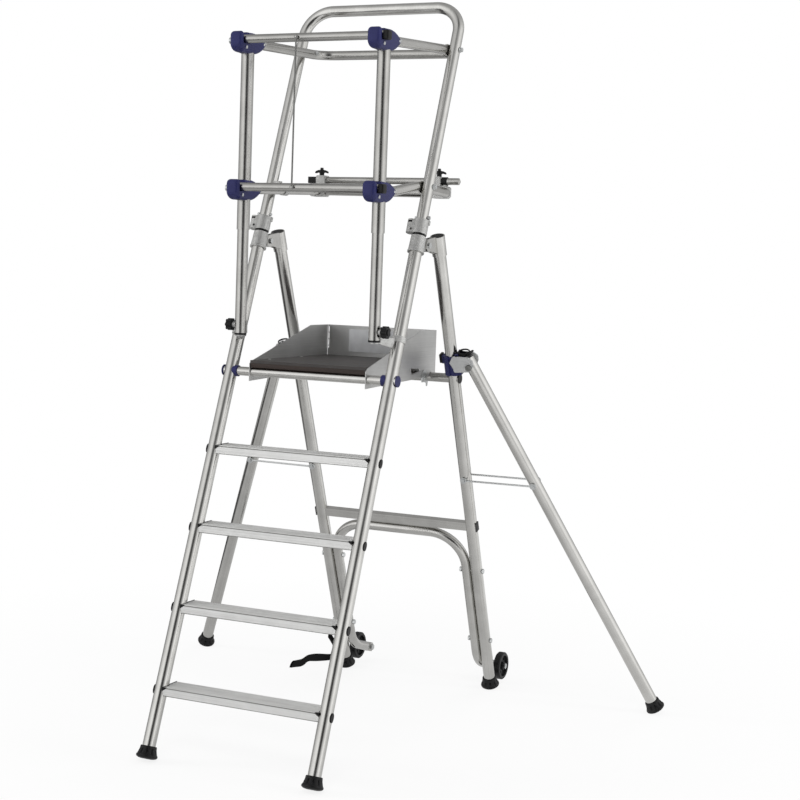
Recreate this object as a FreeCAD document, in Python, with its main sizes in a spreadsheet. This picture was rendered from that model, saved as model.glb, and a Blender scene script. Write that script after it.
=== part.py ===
"""Rolling warehouse ladder: a folding, four-tread platform ladder with a guardrail,
swing-out stabilisers and two tilt-to-roll wheels.

World frame: +X is the user's right when climbing, +Y points to the back, +Z is up.
The origin is on the floor, at the middle of the ladder's footprint.  Millimetres.
"""
import FreeCAD, Part
import math
import os
from types import SimpleNamespace

import Sketcher
from FreeCAD import Placement, Rotation, Vector

doc = FreeCAD.newDocument("RollingLadder")

# ---------------------------------------------------------------------------
# Driving dimensions
# ---------------------------------------------------------------------------

DIMENSIONS = [
    # overall geometry
    ("tread_rise", 234, "height from one tread to the next"),
    ("stile_angle", 20.8, "lean of the front stiles from the vertical"),
    ("rear_angle", 21.5, "lean of the rear legs from the vertical"),
    ("base_depth", 1347, "front foot to rear foot, on the floor"),
    ("front_foot_y", -726, "front feet, from the middle of the footprint"),
    ("fit_gap", 0.05, "radial gap of a sleeve on its tube"),
    # front stiles
    ("stile_half_gap", 277, "stile axis from the middle plane"),
    ("stile_diameter", 40, ""),
    ("stile_wall", 1.6, ""),
    ("tube_floor_gap", 14, "end of a leg tube above the floor, along the tube"),
    ("stile_length", 1670, ""),
    # treads
    ("tread_count", 4, ""),
    ("tread_half_length", 248, ""),
    ("tread_depth", 80, ""),
    ("tread_face", 26, "height of the front face"),
    ("tread_wall", 2.2, ""),
    ("tread_lip", 13, "return flange under the tread"),
    ("tread_drop", 22, "tread top below the point on the stile axis"),
    ("tread_nose", 30, "tread nose in front of the stile axis"),
    ("tread_rib_height", 1.2, ""),
    ("tread_rib_width", 3, ""),
    ("tread_rib_count", 10, ""),
    # rubber feet
    ("foot_base_radius", 33, ""),
    ("foot_neck_radius", 24, ""),
    ("foot_height", 50, ""),
    # platform
    ("platform_tube_height", 1141, "axis of the front platform tube above the floor"),
    ("platform_tube_diameter", 28, ""),
    ("bush_diameter", 35, "nylon bush on the front platform tube"),
    ("tray_half_width", 202, ""),
    ("tray_front", 415, "front edge of the tray, from the front foot line"),
    ("tray_rear", 941, "rear edge of the tray, from the front foot line"),
    ("tray_bottom", 1113, ""),
    ("toe_board_low", 1174, "top of the toe boards at the front"),
    ("toe_board_top", 1280, "top of the toe boards at the back"),
    ("toe_board_slope_end", 815, "where the sloping top edge ends"),
    ("sheet_thickness", 2, ""),
    ("deck_top", 1178, ""),
    ("deck_thickness", 9, ""),
    # handrail hoop
    ("hoop_diameter", 36, ""),
    ("hoop_wall", 1.8, ""),
    ("hoop_start", 1560, "lower end of the hoop inside the stile, along the stile"),
    ("hoop_top", 2477.5, "axis of the hoop's top, along the stile"),
    ("hoop_bend", 90, ""),
    # guard posts
    ("post_half_gap", 231, ""),
    ("post_y", 405, "post axis from the front foot line"),
    ("post_diameter", 35, ""),
    ("post_sleeve_diameter", 40, ""),
    ("post_wall", 1.8, ""),
    ("post_bottom", 1262, ""),
    ("sleeve_bottom", 1581, ""),
    ("sleeve_top", 2172, ""),
    ("bracket_height", 63, ""),
    ("bracket_width", 44, ""),
    ("upper_rail_height", 2150, "gate and rail bolts of the upper corner brackets"),
    ("mid_rail_height", 1705, "gate and rail bolts of the lower corner brackets"),
    ("rail_diameter", 30, ""),
    ("rail_wall", 2, ""),
    ("rail_rear_y", 885, "rear run of the guard rails from the front foot line"),
    ("rail_rise", 18, "climb of a guard rail from the bracket to the rear run"),
    ("rail_bend", 60, ""),
    ("gate_diameter", 26, ""),
    ("gate_setback", 47, "gate bar in front of the post axis"),
    # rear frame
    ("leg_half_gap", 286, ""),
    ("leg_diameter", 40, ""),
    ("leg_wall", 1.8, ""),
    ("leg_length", 1686, ""),
    ("bar_width", 20, "rectangular cross bars, across the rear plane"),
    ("bar_height", 30, "rectangular cross bars, along the legs"),
    ("crossbar_reach", 660, "lower cross bar, along the leg"),
    ("platform_bar_reach", 1212, "platform cross bar, along the leg"),
    ("hinge_pin_y", 650, "main hinge pin from the front foot line"),
    ("hinge_pin_z", 1552, ""),
    ("hinge_pin_x", 281, ""),
    # wheel frame and wheels
    ("wheel_frame_half_gap", 248, ""),
    ("wheel_frame_diameter", 34, ""),
    ("wheel_frame_top", 621, "top bar of the wheel frame, along the leg"),
    ("wheel_frame_bend", 120, ""),
    ("wheel_y", 1436, "wheel axle from the front foot line"),
    ("wheel_z", 62, ""),
    ("wheel_x", 288, ""),
    ("wheel_diameter", 98, ""),
    ("wheel_width", 24, ""),
    # stabilisers
    ("stabiliser_angle", 23.4, "lean of a stabiliser away from its leg, in the rear plane"),
    ("stabiliser_pivot_x", 353, ""),
    ("stabiliser_pivot_reach", 1265, "stabiliser pivot, along the leg"),
    ("stabiliser_diameter", 40, ""),
    ("brace_reach", 847, "brace pivot on the leg, along the leg"),
    ("collar_radius", 27, ""),
    ("collar_height", 66, ""),
]

sheet = doc.addObject("Spreadsheet::Sheet", "Dims")
sheet.Label = "Dims"


class Size:
    """A dimension that keeps its number together with its spreadsheet expression."""

    def __init__(self, number, text):
        self.number = number
        self.text = text

    def combine(self, other, sign, number):
        other_text = other.text if isinstance(other, Size) else repr(other)
        return Size(number, f"({self.text} {sign} {other_text})")

    def __add__(self, other):
        return self.combine(other, "+", self.number + as_number(other))

    def __sub__(self, other):
        return self.combine(other, "-", self.number - as_number(other))

    def __mul__(self, other):
        return self.combine(other, "*", self.number * as_number(other))

    def __truediv__(self, other):
        return self.combine(other, "/", self.number / as_number(other))

    def __neg__(self):
        return Size(-self.number, f"(0 - {self.text})")


def as_number(value):
    return value.number if isinstance(value, Size) else float(value)


size = SimpleNamespace()
for row, (alias, value, note) in enumerate(DIMENSIONS, start=1):
    sheet.set(f"A{row}", str(value))
    sheet.setAlias(f"A{row}", alias)
    sheet.set(f"B{row}", note)
    setattr(size, alias, Size(float(value), f"Dims.{alias}"))
doc.recompute()

# ---------------------------------------------------------------------------
# Frames: each is a Placement in the world
# ---------------------------------------------------------------------------

X_AXIS = Vector(1, 0, 0)
Y_AXIS = Vector(0, 1, 0)
Z_AXIS = Vector(0, 0, 1)

front_y = size.front_foot_y.number
rear_y = front_y + size.base_depth.number

# GUARD: upright, with Y measured from the front foot line
GUARD = Placement(Vector(0, front_y, 0), Rotation())
# FRONT: Z runs up the stiles, Y points away from them to the back
FRONT = Placement(Vector(0, front_y, 0), Rotation(X_AXIS, -size.stile_angle.number))
# REAR: Z runs up the rear legs, Y points away from them to the back
REAR = Placement(Vector(0, rear_y, 0), Rotation(X_AXIS, size.rear_angle.number))


def up_stile(height):
    """Distance along the stile's axis at a height above the floor."""
    return height / math.cos(math.radians(size.stile_angle.number))


def stile_y(height):
    """The stile axis, from the front foot line, at a height above the floor."""
    return height * math.tan(math.radians(size.stile_angle.number))


# ---------------------------------------------------------------------------
# Bodies and sketches
# ---------------------------------------------------------------------------


def new_body(label, placement):
    body = doc.addObject("PartDesign::Body", label)
    body.Label = label
    body.Placement = placement
    return body


def origin_plane(body, role):
    for feature in body.Origin.OriginFeatures:
        if feature.Role == role:
            return feature
    raise ValueError(role)


def new_sketch(body, name, role, offset=None):
    """A sketch on one of the body's origin planes, moved along its normal by offset."""
    sketch = body.newObject("Sketcher::SketchObject", name)
    sketch.AttachmentSupport = (origin_plane(body, role), [""])
    sketch.MapMode = "FlatFace"
    if offset is not None:
        sketch.AttachmentOffset = Placement(Vector(0, 0, as_number(offset)), Rotation())
        if isinstance(offset, Size):
            sketch.setExpression("AttachmentOffset.Base.z", offset.text)
    return sketch


def dimension(sketch, kind, *where, value):
    index = sketch.addConstraint(Sketcher.Constraint(kind, *where, as_number(value)))
    if isinstance(value, Size):
        sketch.setExpression(f"Constraints[{index}]", value.text)


def place_point(sketch, geometry, point, x, y):
    """Ties a point of the sketch to the origin by its two coordinates."""
    for kind, value in (("DistanceX", x), ("DistanceY", y)):
        if isinstance(value, Size) or abs(value) > 1e-9:
            dimension(sketch, kind, -1, 1, geometry, point, value=value)
        else:
            axis = -2 if kind == "DistanceX" else -1
            sketch.addConstraint(Sketcher.Constraint("PointOnObject", geometry, point, axis))


def circle(sketch, diameter, x=0, y=0):
    centre = Vector(as_number(x), as_number(y), 0)
    index = sketch.addGeometry(Part.Circle(centre, Z_AXIS, as_number(diameter) / 2))
    place_point(sketch, index, 3, x, y)
    dimension(sketch, "Diameter", index, value=diameter)


def polygon(sketch, points):
    """A closed outline whose corners are all dimensioned from the origin."""
    corners = [Vector(as_number(x), as_number(y), 0) for x, y in points]
    count = len(corners)
    edges = []
    for number in range(count):
        line = Part.LineSegment(corners[number], corners[(number + 1) % count])
        edges.append(sketch.addGeometry(line))
    for number in range(count):
        following = edges[(number + 1) % count]
        sketch.addConstraint(Sketcher.Constraint("Coincident", edges[number], 2, following, 1))
    for edge, (x, y) in zip(edges, points):
        place_point(sketch, edge, 1, x, y)


def rectangle(sketch, left, right, bottom, top):
    polygon(sketch, [(left, bottom), (right, bottom), (right, top), (left, top)])


def bind(feature, prop, value):
    setattr(feature, prop, as_number(value))
    if isinstance(value, Size):
        feature.setExpression(prop, value.text)


def pad(body, sketch, length, symmetric=False):
    feature = body.newObject("PartDesign::Pad", sketch.Name + "_pad")
    feature.Profile = sketch
    bind(feature, "Length", length)
    feature.SideType = "Symmetric" if symmetric else "One side"
    body.Tip = feature
    return feature


def pocket_through(body, sketch):
    """Cuts the sketch's outline right through the body, both ways."""
    feature = body.newObject("PartDesign::Pocket", sketch.Name + "_pocket")
    feature.Profile = sketch
    feature.Type = "ThroughAll"
    feature.SideType = "Symmetric"
    body.Tip = feature
    return feature


def revolve(body, sketch, axis_role):
    feature = body.newObject("PartDesign::Revolution", sketch.Name + "_turn")
    feature.Profile = sketch
    feature.ReferenceAxis = (origin_plane(body, axis_role), [""])
    feature.Angle = 360
    body.Tip = feature
    return feature


def repeat(body, feature, axis_role, length, count):
    pattern = body.newObject("PartDesign::LinearPattern", feature.Name + "_row")
    pattern.Originals = [feature]
    pattern.Direction = (origin_plane(body, axis_role), [""])
    bind(pattern, "Length", length)
    pattern.Occurrences = int(count.number)
    pattern.setExpression("Occurrences", count.text)
    body.Tip = pattern
    return pattern


def tube_body(label, frame, x, y, start, length, outer, wall):
    """A straight round tube along the frame's Z."""
    body = new_body(label, frame)
    sketch = new_sketch(body, label + "_ring", "XY_Plane", start)
    circle(sketch, outer, x, y)
    circle(sketch, outer - wall * 2, x, y)
    pad(body, sketch, length)
    return body


def cross_tube_body(label, frame, y, z, half_length, outer, wall):
    """A straight round tube across the ladder, centred on its middle plane."""
    body = new_body(label, frame)
    sketch = new_sketch(body, label + "_ring", "YZ_Plane")
    circle(sketch, outer, y, z)
    circle(sketch, outer - wall * 2, y, z)
    pad(body, sketch, half_length * 2, symmetric=True)
    return body


def mirrored(source, label):
    """The same piece on the other side of the ladder."""
    twin = doc.addObject("Part::Mirroring", label)
    twin.Label = label
    twin.Source = source
    twin.Normal = X_AXIS
    return twin


def group(label, members):
    """Identical or matching pieces that share one node, each still its own solid."""
    compound = doc.addObject("Part::Compound", label)
    compound.Label = label
    compound.Links = members
    return compound


# ---------------------------------------------------------------------------
# Direct shapes, for castings, mouldings and tubes bent in more than one plane
# ---------------------------------------------------------------------------


def feature(label, shape, frame=GUARD):
    item = doc.addObject("Part::Feature", label)
    item.Label = label
    item.Shape = shape
    item.Placement = frame
    return item


def solids(shapes):
    """Several separate solids as one shape."""
    return Part.makeCompound([solid for shape in shapes for solid in shape.Solids])


def flip(shape):
    """The shape reflected in the middle plane."""
    return shape.mirror(Vector(0, 0, 0), X_AXIS)


def both_sides(shape):
    return solids([shape, flip(shape)])


def box(x0, x1, y0, y1, z0, z1):
    return Part.makeBox(x1 - x0, y1 - y0, z1 - z0, Vector(x0, y0, z0))


def rod(start, end, radius):
    """A solid cylinder between two points."""
    start = Vector(*start)
    along = Vector(*end) - start
    return Part.makeCylinder(radius, along.Length, start, along)


def sleeve(start, end, outer, inner):
    """A tube between two points, open at both ends."""
    along = (Vector(*end) - Vector(*start)).normalize()
    longer = (Vector(*start) - along, Vector(*end) + along)
    return rod(start, end, outer).cut(rod(longer[0], longer[1], inner))


def prism(points, axis, low, high):
    """A flat outline pushed along an axis; points are the other two coordinates in order."""
    placed = {
        "x": lambda a, b: Vector(low, a, b),
        "y": lambda a, b: Vector(a, low, b),
        "z": lambda a, b: Vector(a, b, low),
    }[axis]
    along = {"x": X_AXIS, "y": Y_AXIS, "z": Z_AXIS}[axis]
    corners = [placed(a, b) for a, b in points]
    face = Part.Face(Part.makePolygon(corners + corners[:1]))
    solid = face.extrude(along * (high - low))
    return solid


def slot_link(a, b, radius, axis, low, high):
    """A flat link with round ends; a and b are its centres, across the axis."""
    direction = Vector(b[0] - a[0], b[1] - a[1], 0).normalize() * radius
    side = (-direction.y, direction.x)
    corners = [
        (a[0] + side[0], a[1] + side[1]),
        (b[0] + side[0], b[1] + side[1]),
        (b[0] - side[0], b[1] - side[1]),
        (a[0] - side[0], a[1] - side[1]),
    ]
    solid = prism(corners, axis, low, high)
    for end in (a, b):
        ends = {
            "x": ((low, *end), (high, *end)),
            "y": ((end[0], low, end[1]), (end[0], high, end[1])),
            "z": ((*end, low), (*end, high)),
        }[axis]
        solid = solid.fuse(rod(*ends, radius))
    return solid.removeSplitter()


def bent_wire(points, bends):
    """Straight runs between points, joined by tangent arcs of the given radii."""
    corners = [Vector(*point) for point in points]
    edges = []
    start = corners[0]
    for number, radius in enumerate(bends, start=1):
        corner = corners[number]
        back = (corners[number - 1] - corner).normalize()
        ahead = (corners[number + 1] - corner).normalize()
        half = back.getAngle(ahead) / 2
        reach = radius / math.tan(half)
        entry = corner + back * reach
        leave = corner + ahead * reach
        middle = (back + ahead).normalize()
        apex = corner + middle * (radius / math.sin(half) - radius)
        edges.append(Part.makeLine(start, entry))
        edges.append(Part.Arc(entry, apex, leave).toShape())
        start = leave
    edges.append(Part.makeLine(start, corners[-1]))
    return Part.Wire(edges)


def bent_tube(points, bends, outer, inner):
    """A round tube along straight runs and arcs; radii outer and inner."""
    spine = bent_wire(points, bends)
    start = Vector(*points[0])
    along = Vector(*points[1]) - start

    def swept(radius):
        ring = Part.Wire(Part.Circle(start, along, radius).toShape())
        return spine.makePipeShell([ring], True, False)

    tube = swept(outer)
    if inner > 0:
        tube = tube.cut(swept(inner))
    return tube


def flat_end(tube_end, tab_start, radius, thickness, tab_height):
    """Where a round tube is pressed flat: a solid that runs from round to flat."""
    start = Vector(*tube_end)
    finish = Vector(*tab_start)
    along = (finish - start).normalize()
    side = Vector(1, 0, 0)
    up = side.cross(along) * -1

    def oval(centre, half_width, half_height):
        count = 16
        points = []
        for number in range(count):
            turn = 2 * math.pi * number / count
            points.append(
                centre + side * (half_width * math.cos(turn)) + up * (half_height * math.sin(turn))
            )
        return Part.makePolygon(points + points[:1])

    sections = [oval(start, radius, radius), oval(finish, thickness / 2, tab_height / 2)]
    return Part.makeLoft(sections, True, True)


def hex_bolt(start, direction, across, height):
    """A hexagonal head or nut that stands on start."""
    along = Vector(*direction).normalize()
    reference = Z_AXIS if abs(along.z) < 0.9 else X_AXIS
    side = along.cross(reference).normalize()
    other = along.cross(side)
    radius = across / math.sqrt(3)
    corners = []
    for number in range(6):
        turn = math.pi * number / 3
        corners.append(
            Vector(*start) + side * (radius * math.cos(turn)) + other * (radius * math.sin(turn))
        )
    face = Part.Face(Part.makePolygon(corners + corners[:1]))
    return face.extrude(along * height)


# ---------------------------------------------------------------------------
# Front stiles
# ---------------------------------------------------------------------------

stile_right = tube_body(
    "stile_right", FRONT, size.stile_half_gap, 0,
    size.tube_floor_gap, size.stile_length, size.stile_diameter, size.stile_wall,
)
cross_hole = new_sketch(stile_right, "platform_tube_hole", "YZ_Plane")
circle(cross_hole, size.platform_tube_diameter + 0.1, 0, up_stile(size.platform_tube_height.number))
pocket_through(stile_right, cross_hole)
mirrored(stile_right, "stile_left")

# ---------------------------------------------------------------------------
# Treads: ribbed channels, open underneath, with a return lip front and back
# ---------------------------------------------------------------------------

tread_origins = []
for number in range(1, int(size.tread_count.number) + 1):
    rise = size.tread_rise.number * number
    nose = front_y + stile_y(rise) - size.tread_nose.number
    tread_origins.append((nose, rise - size.tread_drop.number))
    tread = new_body(f"tread_{number}", Placement(Vector(0, *tread_origins[-1]), Rotation()))
    depth = size.tread_depth
    wall = size.tread_wall
    lip = size.tread_lip
    face = size.tread_face
    channel = new_sketch(tread, f"tread_{number}_channel", "YZ_Plane")
    polygon(channel, [
        (0, 0), (depth, 0), (depth, -face), (depth - lip, -face), (depth - lip, wall - face),
        (depth - wall, wall - face), (depth - wall, -wall), (wall, -wall), (wall, wall - face),
        (lip, wall - face), (lip, -face), (0, -face),
    ])
    pad(tread, channel, size.tread_half_length * 2, symmetric=True)
    rib = new_sketch(tread, f"tread_{number}_rib", "YZ_Plane")
    rectangle(rib, 3.5, size.tread_rib_width + 3.5, -0.5, size.tread_rib_height)
    rib_pad = pad(tread, rib, size.tread_half_length * 2, symmetric=True)
    repeat(tread, rib_pad, "Y_Axis", depth - 10, size.tread_rib_count)

# moulded end fittings between the tread and the round stile
tread_ends = []
stile_x = size.stile_half_gap.number
for nose, top in tread_origins:
    fitting = box(
        size.tread_half_length.number, stile_x - 12,
        nose + 1.5, nose + size.tread_depth.number - 1.5, top - 28, top + 2,
    )
    for x0, y0, z0 in ((size.tread_half_length.number - 14, nose + 2.8, top - 23),):
        tongue = box(
            x0, x0 + 15, y0, nose + size.tread_depth.number - 2.8,
            z0, top - size.tread_wall.number - 0.3,
        )
        fitting = fitting.fuse(tongue)
    axis_low = (stile_x, front_y, 0)
    lean = math.radians(size.stile_angle.number)
    axis_high = (stile_x, front_y + 1500 * math.sin(lean), 1500 * math.cos(lean))
    fitting = fitting.cut(rod(axis_low, axis_high, size.stile_diameter.number / 2 + 0.02))
    tread_ends += [fitting, flip(fitting)]

# oval covers over the tread fixings on the outside of the stiles
covers = []
for number in range(1, int(size.tread_count.number) + 1):
    reach = up_stile(size.tread_rise.number * number - size.tread_drop.number - 13)
    oval = Part.Ellipse(Vector(stile_x, -2, reach), 14, 8.5).toShape()
    oval.rotate(Vector(stile_x, -2, reach), Y_AXIS, 90)
    cover = Part.Face(Part.Wire(oval)).extrude(X_AXIS * 22.5)
    cover = cover.cut(rod((stile_x, 0, 0), (stile_x, 0, 1500), size.stile_diameter.number / 2 + 0.02))
    outer = [solid for solid in cover.Solids if solid.CenterOfMass.x > stile_x]
    covers += [outer[0], flip(outer[0])]
tread_covers = solids(covers)
tread_covers.Placement = FRONT

# ---------------------------------------------------------------------------
# Rubber feet
# ---------------------------------------------------------------------------


def rubber_foot(floor_point, axis):
    """A flared boot: flat on the floor, square to its tube at the top, bored for the tube."""
    base = Vector(*floor_point)
    along = Vector(*axis).normalize()
    rings = []
    for height in (0, 6):
        centre = base + Z_AXIS * height
        rings.append(Part.Circle(centre, Z_AXIS, size.foot_base_radius.number))
    waist = size.foot_height.number * 0.55
    rings.append(Part.Circle(base + along * waist, along, size.foot_neck_radius.number + 1.5))
    rings.append(
        Part.Circle(base + along * size.foot_height.number, along, size.foot_neck_radius.number)
    )
    wires = [Part.Wire(ring.toShape()) for ring in rings]
    boot = Part.makeLoft(wires, True, True)
    seat = base + along * size.tube_floor_gap.number
    bore = Part.makeCylinder(size.stile_diameter.number / 2 + size.fit_gap.number, 60, seat, along)
    return boot.cut(bore)


stile_axis = (0, math.sin(lean), math.cos(lean))
front_foot = rubber_foot((stile_x, front_y, 0), stile_axis)
feature("front_feet", both_sides(front_foot), Placement())

rear_lean = math.radians(size.rear_angle.number)
leg_axis = (0, -math.sin(rear_lean), math.cos(rear_lean))
leg_x = size.leg_half_gap.number
rear_foot = rubber_foot((leg_x, rear_y, 0), leg_axis)
feature("rear_feet", both_sides(rear_foot), Placement())

# ---------------------------------------------------------------------------
# Front platform tube, its bushes and its end covers
# ---------------------------------------------------------------------------

tube_z = size.platform_tube_height
tube_y = stile_y(tube_z.number)
platform_front_tube = cross_tube_body(
    "platform_front_tube", GUARD, tube_y, tube_z,
    size.stile_half_gap + 22, size.platform_tube_diameter, size.stile_wall,
)
tube_radius = size.platform_tube_diameter.number / 2
bush_radius = size.bush_diameter.number / 2
bush = sleeve(
    (240, tube_y, tube_z.number), (266, tube_y, tube_z.number),
    bush_radius, tube_radius + size.fit_gap.number,
)
stile_line = ((stile_x, 0, 0), (stile_x, 1500 * math.sin(lean), 1500 * math.cos(lean)))
bush = bush.cut(rod(*stile_line, size.stile_diameter.number / 2 + 0.02))
cover = rod((stile_x + 22, tube_y, tube_z.number), (stile_x + 25, tube_y, tube_z.number), bush_radius)
cover = cover.fuse(
    rod((stile_x + 10, tube_y, tube_z.number), (stile_x + 22.5, tube_y, tube_z.number),
        tube_radius - size.stile_wall.number - 0.05)
)
feature("platform_tube_bushes", both_sides(solids([bush, cover])))

# ---------------------------------------------------------------------------
# Handrail hoop, stile sockets and locking collars
# ---------------------------------------------------------------------------

hoop = new_body("handrail_hoop", FRONT)
ring = new_sketch(hoop, "hoop_ring", "XY_Plane", size.hoop_start)
circle(ring, size.hoop_diameter, size.stile_half_gap, 0)
circle(ring, size.hoop_diameter - size.hoop_wall * 2, size.stile_half_gap, 0)
path = new_sketch(hoop, "hoop_path", "XZ_Plane")
bend = size.hoop_bend.number
hoop_top = size.hoop_top.number
run = [
    Part.LineSegment(Vector(stile_x, size.hoop_start.number, 0), Vector(stile_x, hoop_top - bend, 0)),
    Part.ArcOfCircle(
        Part.Circle(Vector(stile_x - bend, hoop_top - bend, 0), Z_AXIS, bend), 0, math.pi / 2
    ),
    Part.LineSegment(Vector(stile_x - bend, hoop_top, 0), Vector(bend - stile_x, hoop_top, 0)),
    Part.ArcOfCircle(
        Part.Circle(Vector(bend - stile_x, hoop_top - bend, 0), Z_AXIS, bend),
        math.pi / 2, math.pi,
    ),
    Part.LineSegment(Vector(-stile_x, hoop_top - bend, 0), Vector(-stile_x, size.hoop_start.number, 0)),
]
for edge in run:
    path.addGeometry(edge)
for first, last, point, next_point in ((0, 1, 2, 1), (1, 2, 2, 1), (2, 3, 2, 1), (3, 4, 2, 1)):
    path.addConstraint(Sketcher.Constraint("Coincident", first, point, last, next_point))
place_point(path, 0, 1, size.stile_half_gap, size.hoop_start)
place_point(path, 4, 2, -size.stile_half_gap, size.hoop_start)
place_point(path, 0, 2, size.stile_half_gap, size.hoop_top - size.hoop_bend)
place_point(path, 2, 1, size.stile_half_gap - size.hoop_bend, size.hoop_top)
place_point(path, 2, 2, size.hoop_bend - size.stile_half_gap, size.hoop_top)
place_point(path, 4, 1, -size.stile_half_gap, size.hoop_top - size.hoop_bend)
for arc in (1, 3):
    dimension(path, "Radius", arc, value=size.hoop_bend)
sweep = hoop.newObject("PartDesign::AdditivePipe", "hoop_sweep")
sweep.Profile = ring
sweep.Spine = (path, [])
hoop.Tip = sweep

# hinge pin in the FRONT and REAR frames
pin = Vector(size.hinge_pin_x.number, size.hinge_pin_y.number, size.hinge_pin_z.number)
pin_front = FRONT.inverse().multVec(GUARD.multVec(pin))
pin_rear = REAR.inverse().multVec(GUARD.multVec(pin))

socket_low = up_stile(1528)
socket_high = up_stile(1577)
stile_top = size.tube_floor_gap.number + size.stile_length.number
ear = prism(
    [
        (0, socket_low + 2), (pin_front.y - 6, pin_front.z - 19), (pin_front.y + 10, pin_front.z - 16),
        (pin_front.y + 10, pin_front.z + 16), (pin_front.y - 4, pin_front.z + 19), (0, socket_high - 2),
    ],
    "x", pin.x - 4.8, pin.x + 4.8,
)
ear = ear.fuse(rod((pin.x - 4.8, pin_front.y, pin_front.z), (pin.x + 4.8, pin_front.y, pin_front.z), 20))
ear = ear.cut(rod((stile_x, 0, socket_high + 0.1), (stile_x, 0, socket_high + 50), 34))
socket = Part.makeCone(25, 23.2, socket_high - socket_low, Vector(stile_x, 0, socket_low), Z_AXIS)
socket = socket.fuse([ear, rod((stile_x, 0, socket_low), (stile_x, 0, socket_low + 5), 26.3)])
socket = socket.cut(rod((stile_x, 0, socket_low - 1), (stile_x, 0, stile_top), 20 + 0.05))
socket = socket.cut(rod((stile_x, 0, stile_top - 1), (stile_x, 0, socket_high + 1), 18 + 0.05))
socket = socket.cut(
    rod((pin.x - 9, pin_front.y, pin_front.z), (pin.x + 9, pin_front.y, pin_front.z), 5.05)
)

# The collars clamp the hoop above the sockets, on a black ring.  Left and right are the
# same casting, so both lugs point to the left.
ring_high = socket_high + 7
collar_low = ring_high + 0.3
collar_high = up_stile(1628)
lug_x, lug_y = -29, -5


def collar_at(x):
    collar = slot_link((x, 0), (x + lug_x, lug_y), 13.5, "z", collar_low + 3, collar_high - 1)
    collar = collar.fuse([
        rod((x, 0, collar_low), (x, 0, collar_high), 23.5),
        box(x + 14, x + 25, 2, 12, collar_high - 12, collar_high + 2),
    ])
    slit = box(x + lug_x - 20, x, lug_y - 1, lug_y + 1, collar_low - 1, collar_high + 1)
    window = box(x + lug_x - 8, x + lug_x + 6, lug_y - 14, lug_y - 6, collar_high - 12, collar_high - 6)
    screw_hole = ((x + lug_x + 6, lug_y - 20, collar_low + 13), (x + lug_x + 6, lug_y + 20, collar_low + 13))
    collar = collar.cut([
        rod((x, 0, collar_low - 1), (x, 0, collar_high + 9), 18.05), slit, window,
        rod(*screw_hole, 2.5),
    ])
    return max(collar.Solids, key=lambda piece: piece.Volume)


seal_rings = [
    sleeve((x, 0, socket_high + 0.3), (x, 0, ring_high), 20.5, 18.05) for x in (stile_x, -stile_x)
]
feature(
    "stile_castings", solids([both_sides(socket), collar_at(stile_x), collar_at(-stile_x)]), FRONT
)

# ---------------------------------------------------------------------------
# Guard posts at the front, with the clamps that hold them to the stiles
# ---------------------------------------------------------------------------

post_x = size.post_half_gap.number
post_y = size.post_y.number
post_sleeve_right = tube_body(
    "post_sleeve_right", GUARD, size.post_half_gap, size.post_y, size.sleeve_bottom,
    size.sleeve_top - size.sleeve_bottom, size.post_sleeve_diameter,
    (size.post_sleeve_diameter - size.post_diameter) / 2 - size.fit_gap,
)
post_tube_right = tube_body(
    "post_tube_right", GUARD, size.post_half_gap, size.post_y, size.post_bottom,
    size.sleeve_bottom + 330 - size.post_bottom, size.post_diameter, size.post_wall,
)
group("guard_posts", [
    post_sleeve_right, mirrored(post_sleeve_right, "post_sleeve_left"),
    post_tube_right, mirrored(post_tube_right, "post_tube_left"),
])

clamp_y = stile_y(1262)
strap_mid = up_stile(1262)
stile_strap = rod((stile_x, 0, strap_mid - 9), (stile_x, 0, strap_mid + 9), 22.8)
stile_strap.Placement = GUARD.inverse().multiply(FRONT)
post_foot = size.post_bottom.number
seat = rod((post_x, post_y, post_foot - 22), (post_x, post_y, post_foot - 6.3), 15)
arm = slot_link((stile_x, clamp_y), (post_x, post_y), 10, "z", post_foot - 22, post_foot + 8)
saddle = rod((post_x, post_y, post_foot + 0.3), (post_x, post_y, post_foot + 38), 21.5)
saddle = saddle.cut(box(post_x - 30, post_x + 30, post_y - 30, post_y + 3, 1200, 1320))
boss = rod((post_x, post_y, 1287), (post_x + 26, post_y, 1287), 9)
post_room = rod((post_x, post_y, post_foot - 6.2), (post_x, post_y, 1320), 17.5 + 0.05)
clamp = stile_strap.fuse([arm.cut(rod((post_x, post_y, post_foot - 6.2), (post_x, post_y, 1320), 18.8))])
clamp = clamp.fuse([seat, saddle, boss]).cut([post_room, rod(*stile_line, 20.05)])
clamp = clamp.cut(rod((post_x + 17, post_y, 1287), (post_x + 30, post_y, 1287), 4.1))
clamp = max(clamp.Solids, key=lambda solid: solid.Volume)
feature("post_clamps", both_sides(clamp))

end_ring = sleeve((post_x, post_y, 1256), (post_x, post_y, 1261.9), 18.5, 12)
end_rings = both_sides(end_ring)
end_rings.Placement = GUARD
collar_rings = solids(seal_rings)
collar_rings.Placement = FRONT


def star_knob(centre, axis, radius, height, lobes):
    """A moulded grip with rounded lobes, standing on centre."""
    base = Vector(*centre)
    along = Vector(*axis).normalize()
    grip = Part.makeCylinder(radius * 0.82, height, base, along)
    reference = Z_AXIS if abs(along.z) < 0.9 else X_AXIS
    side = along.cross(reference).normalize()
    other = along.cross(side)
    for number in range(lobes):
        turn = 2 * math.pi * number / lobes
        spot = base + (side * math.cos(turn) + other * math.sin(turn)) * (radius * 0.72)
        grip = grip.fuse(Part.makeCylinder(radius * 0.28, height, spot, along))
    return grip.removeSplitter()


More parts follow.
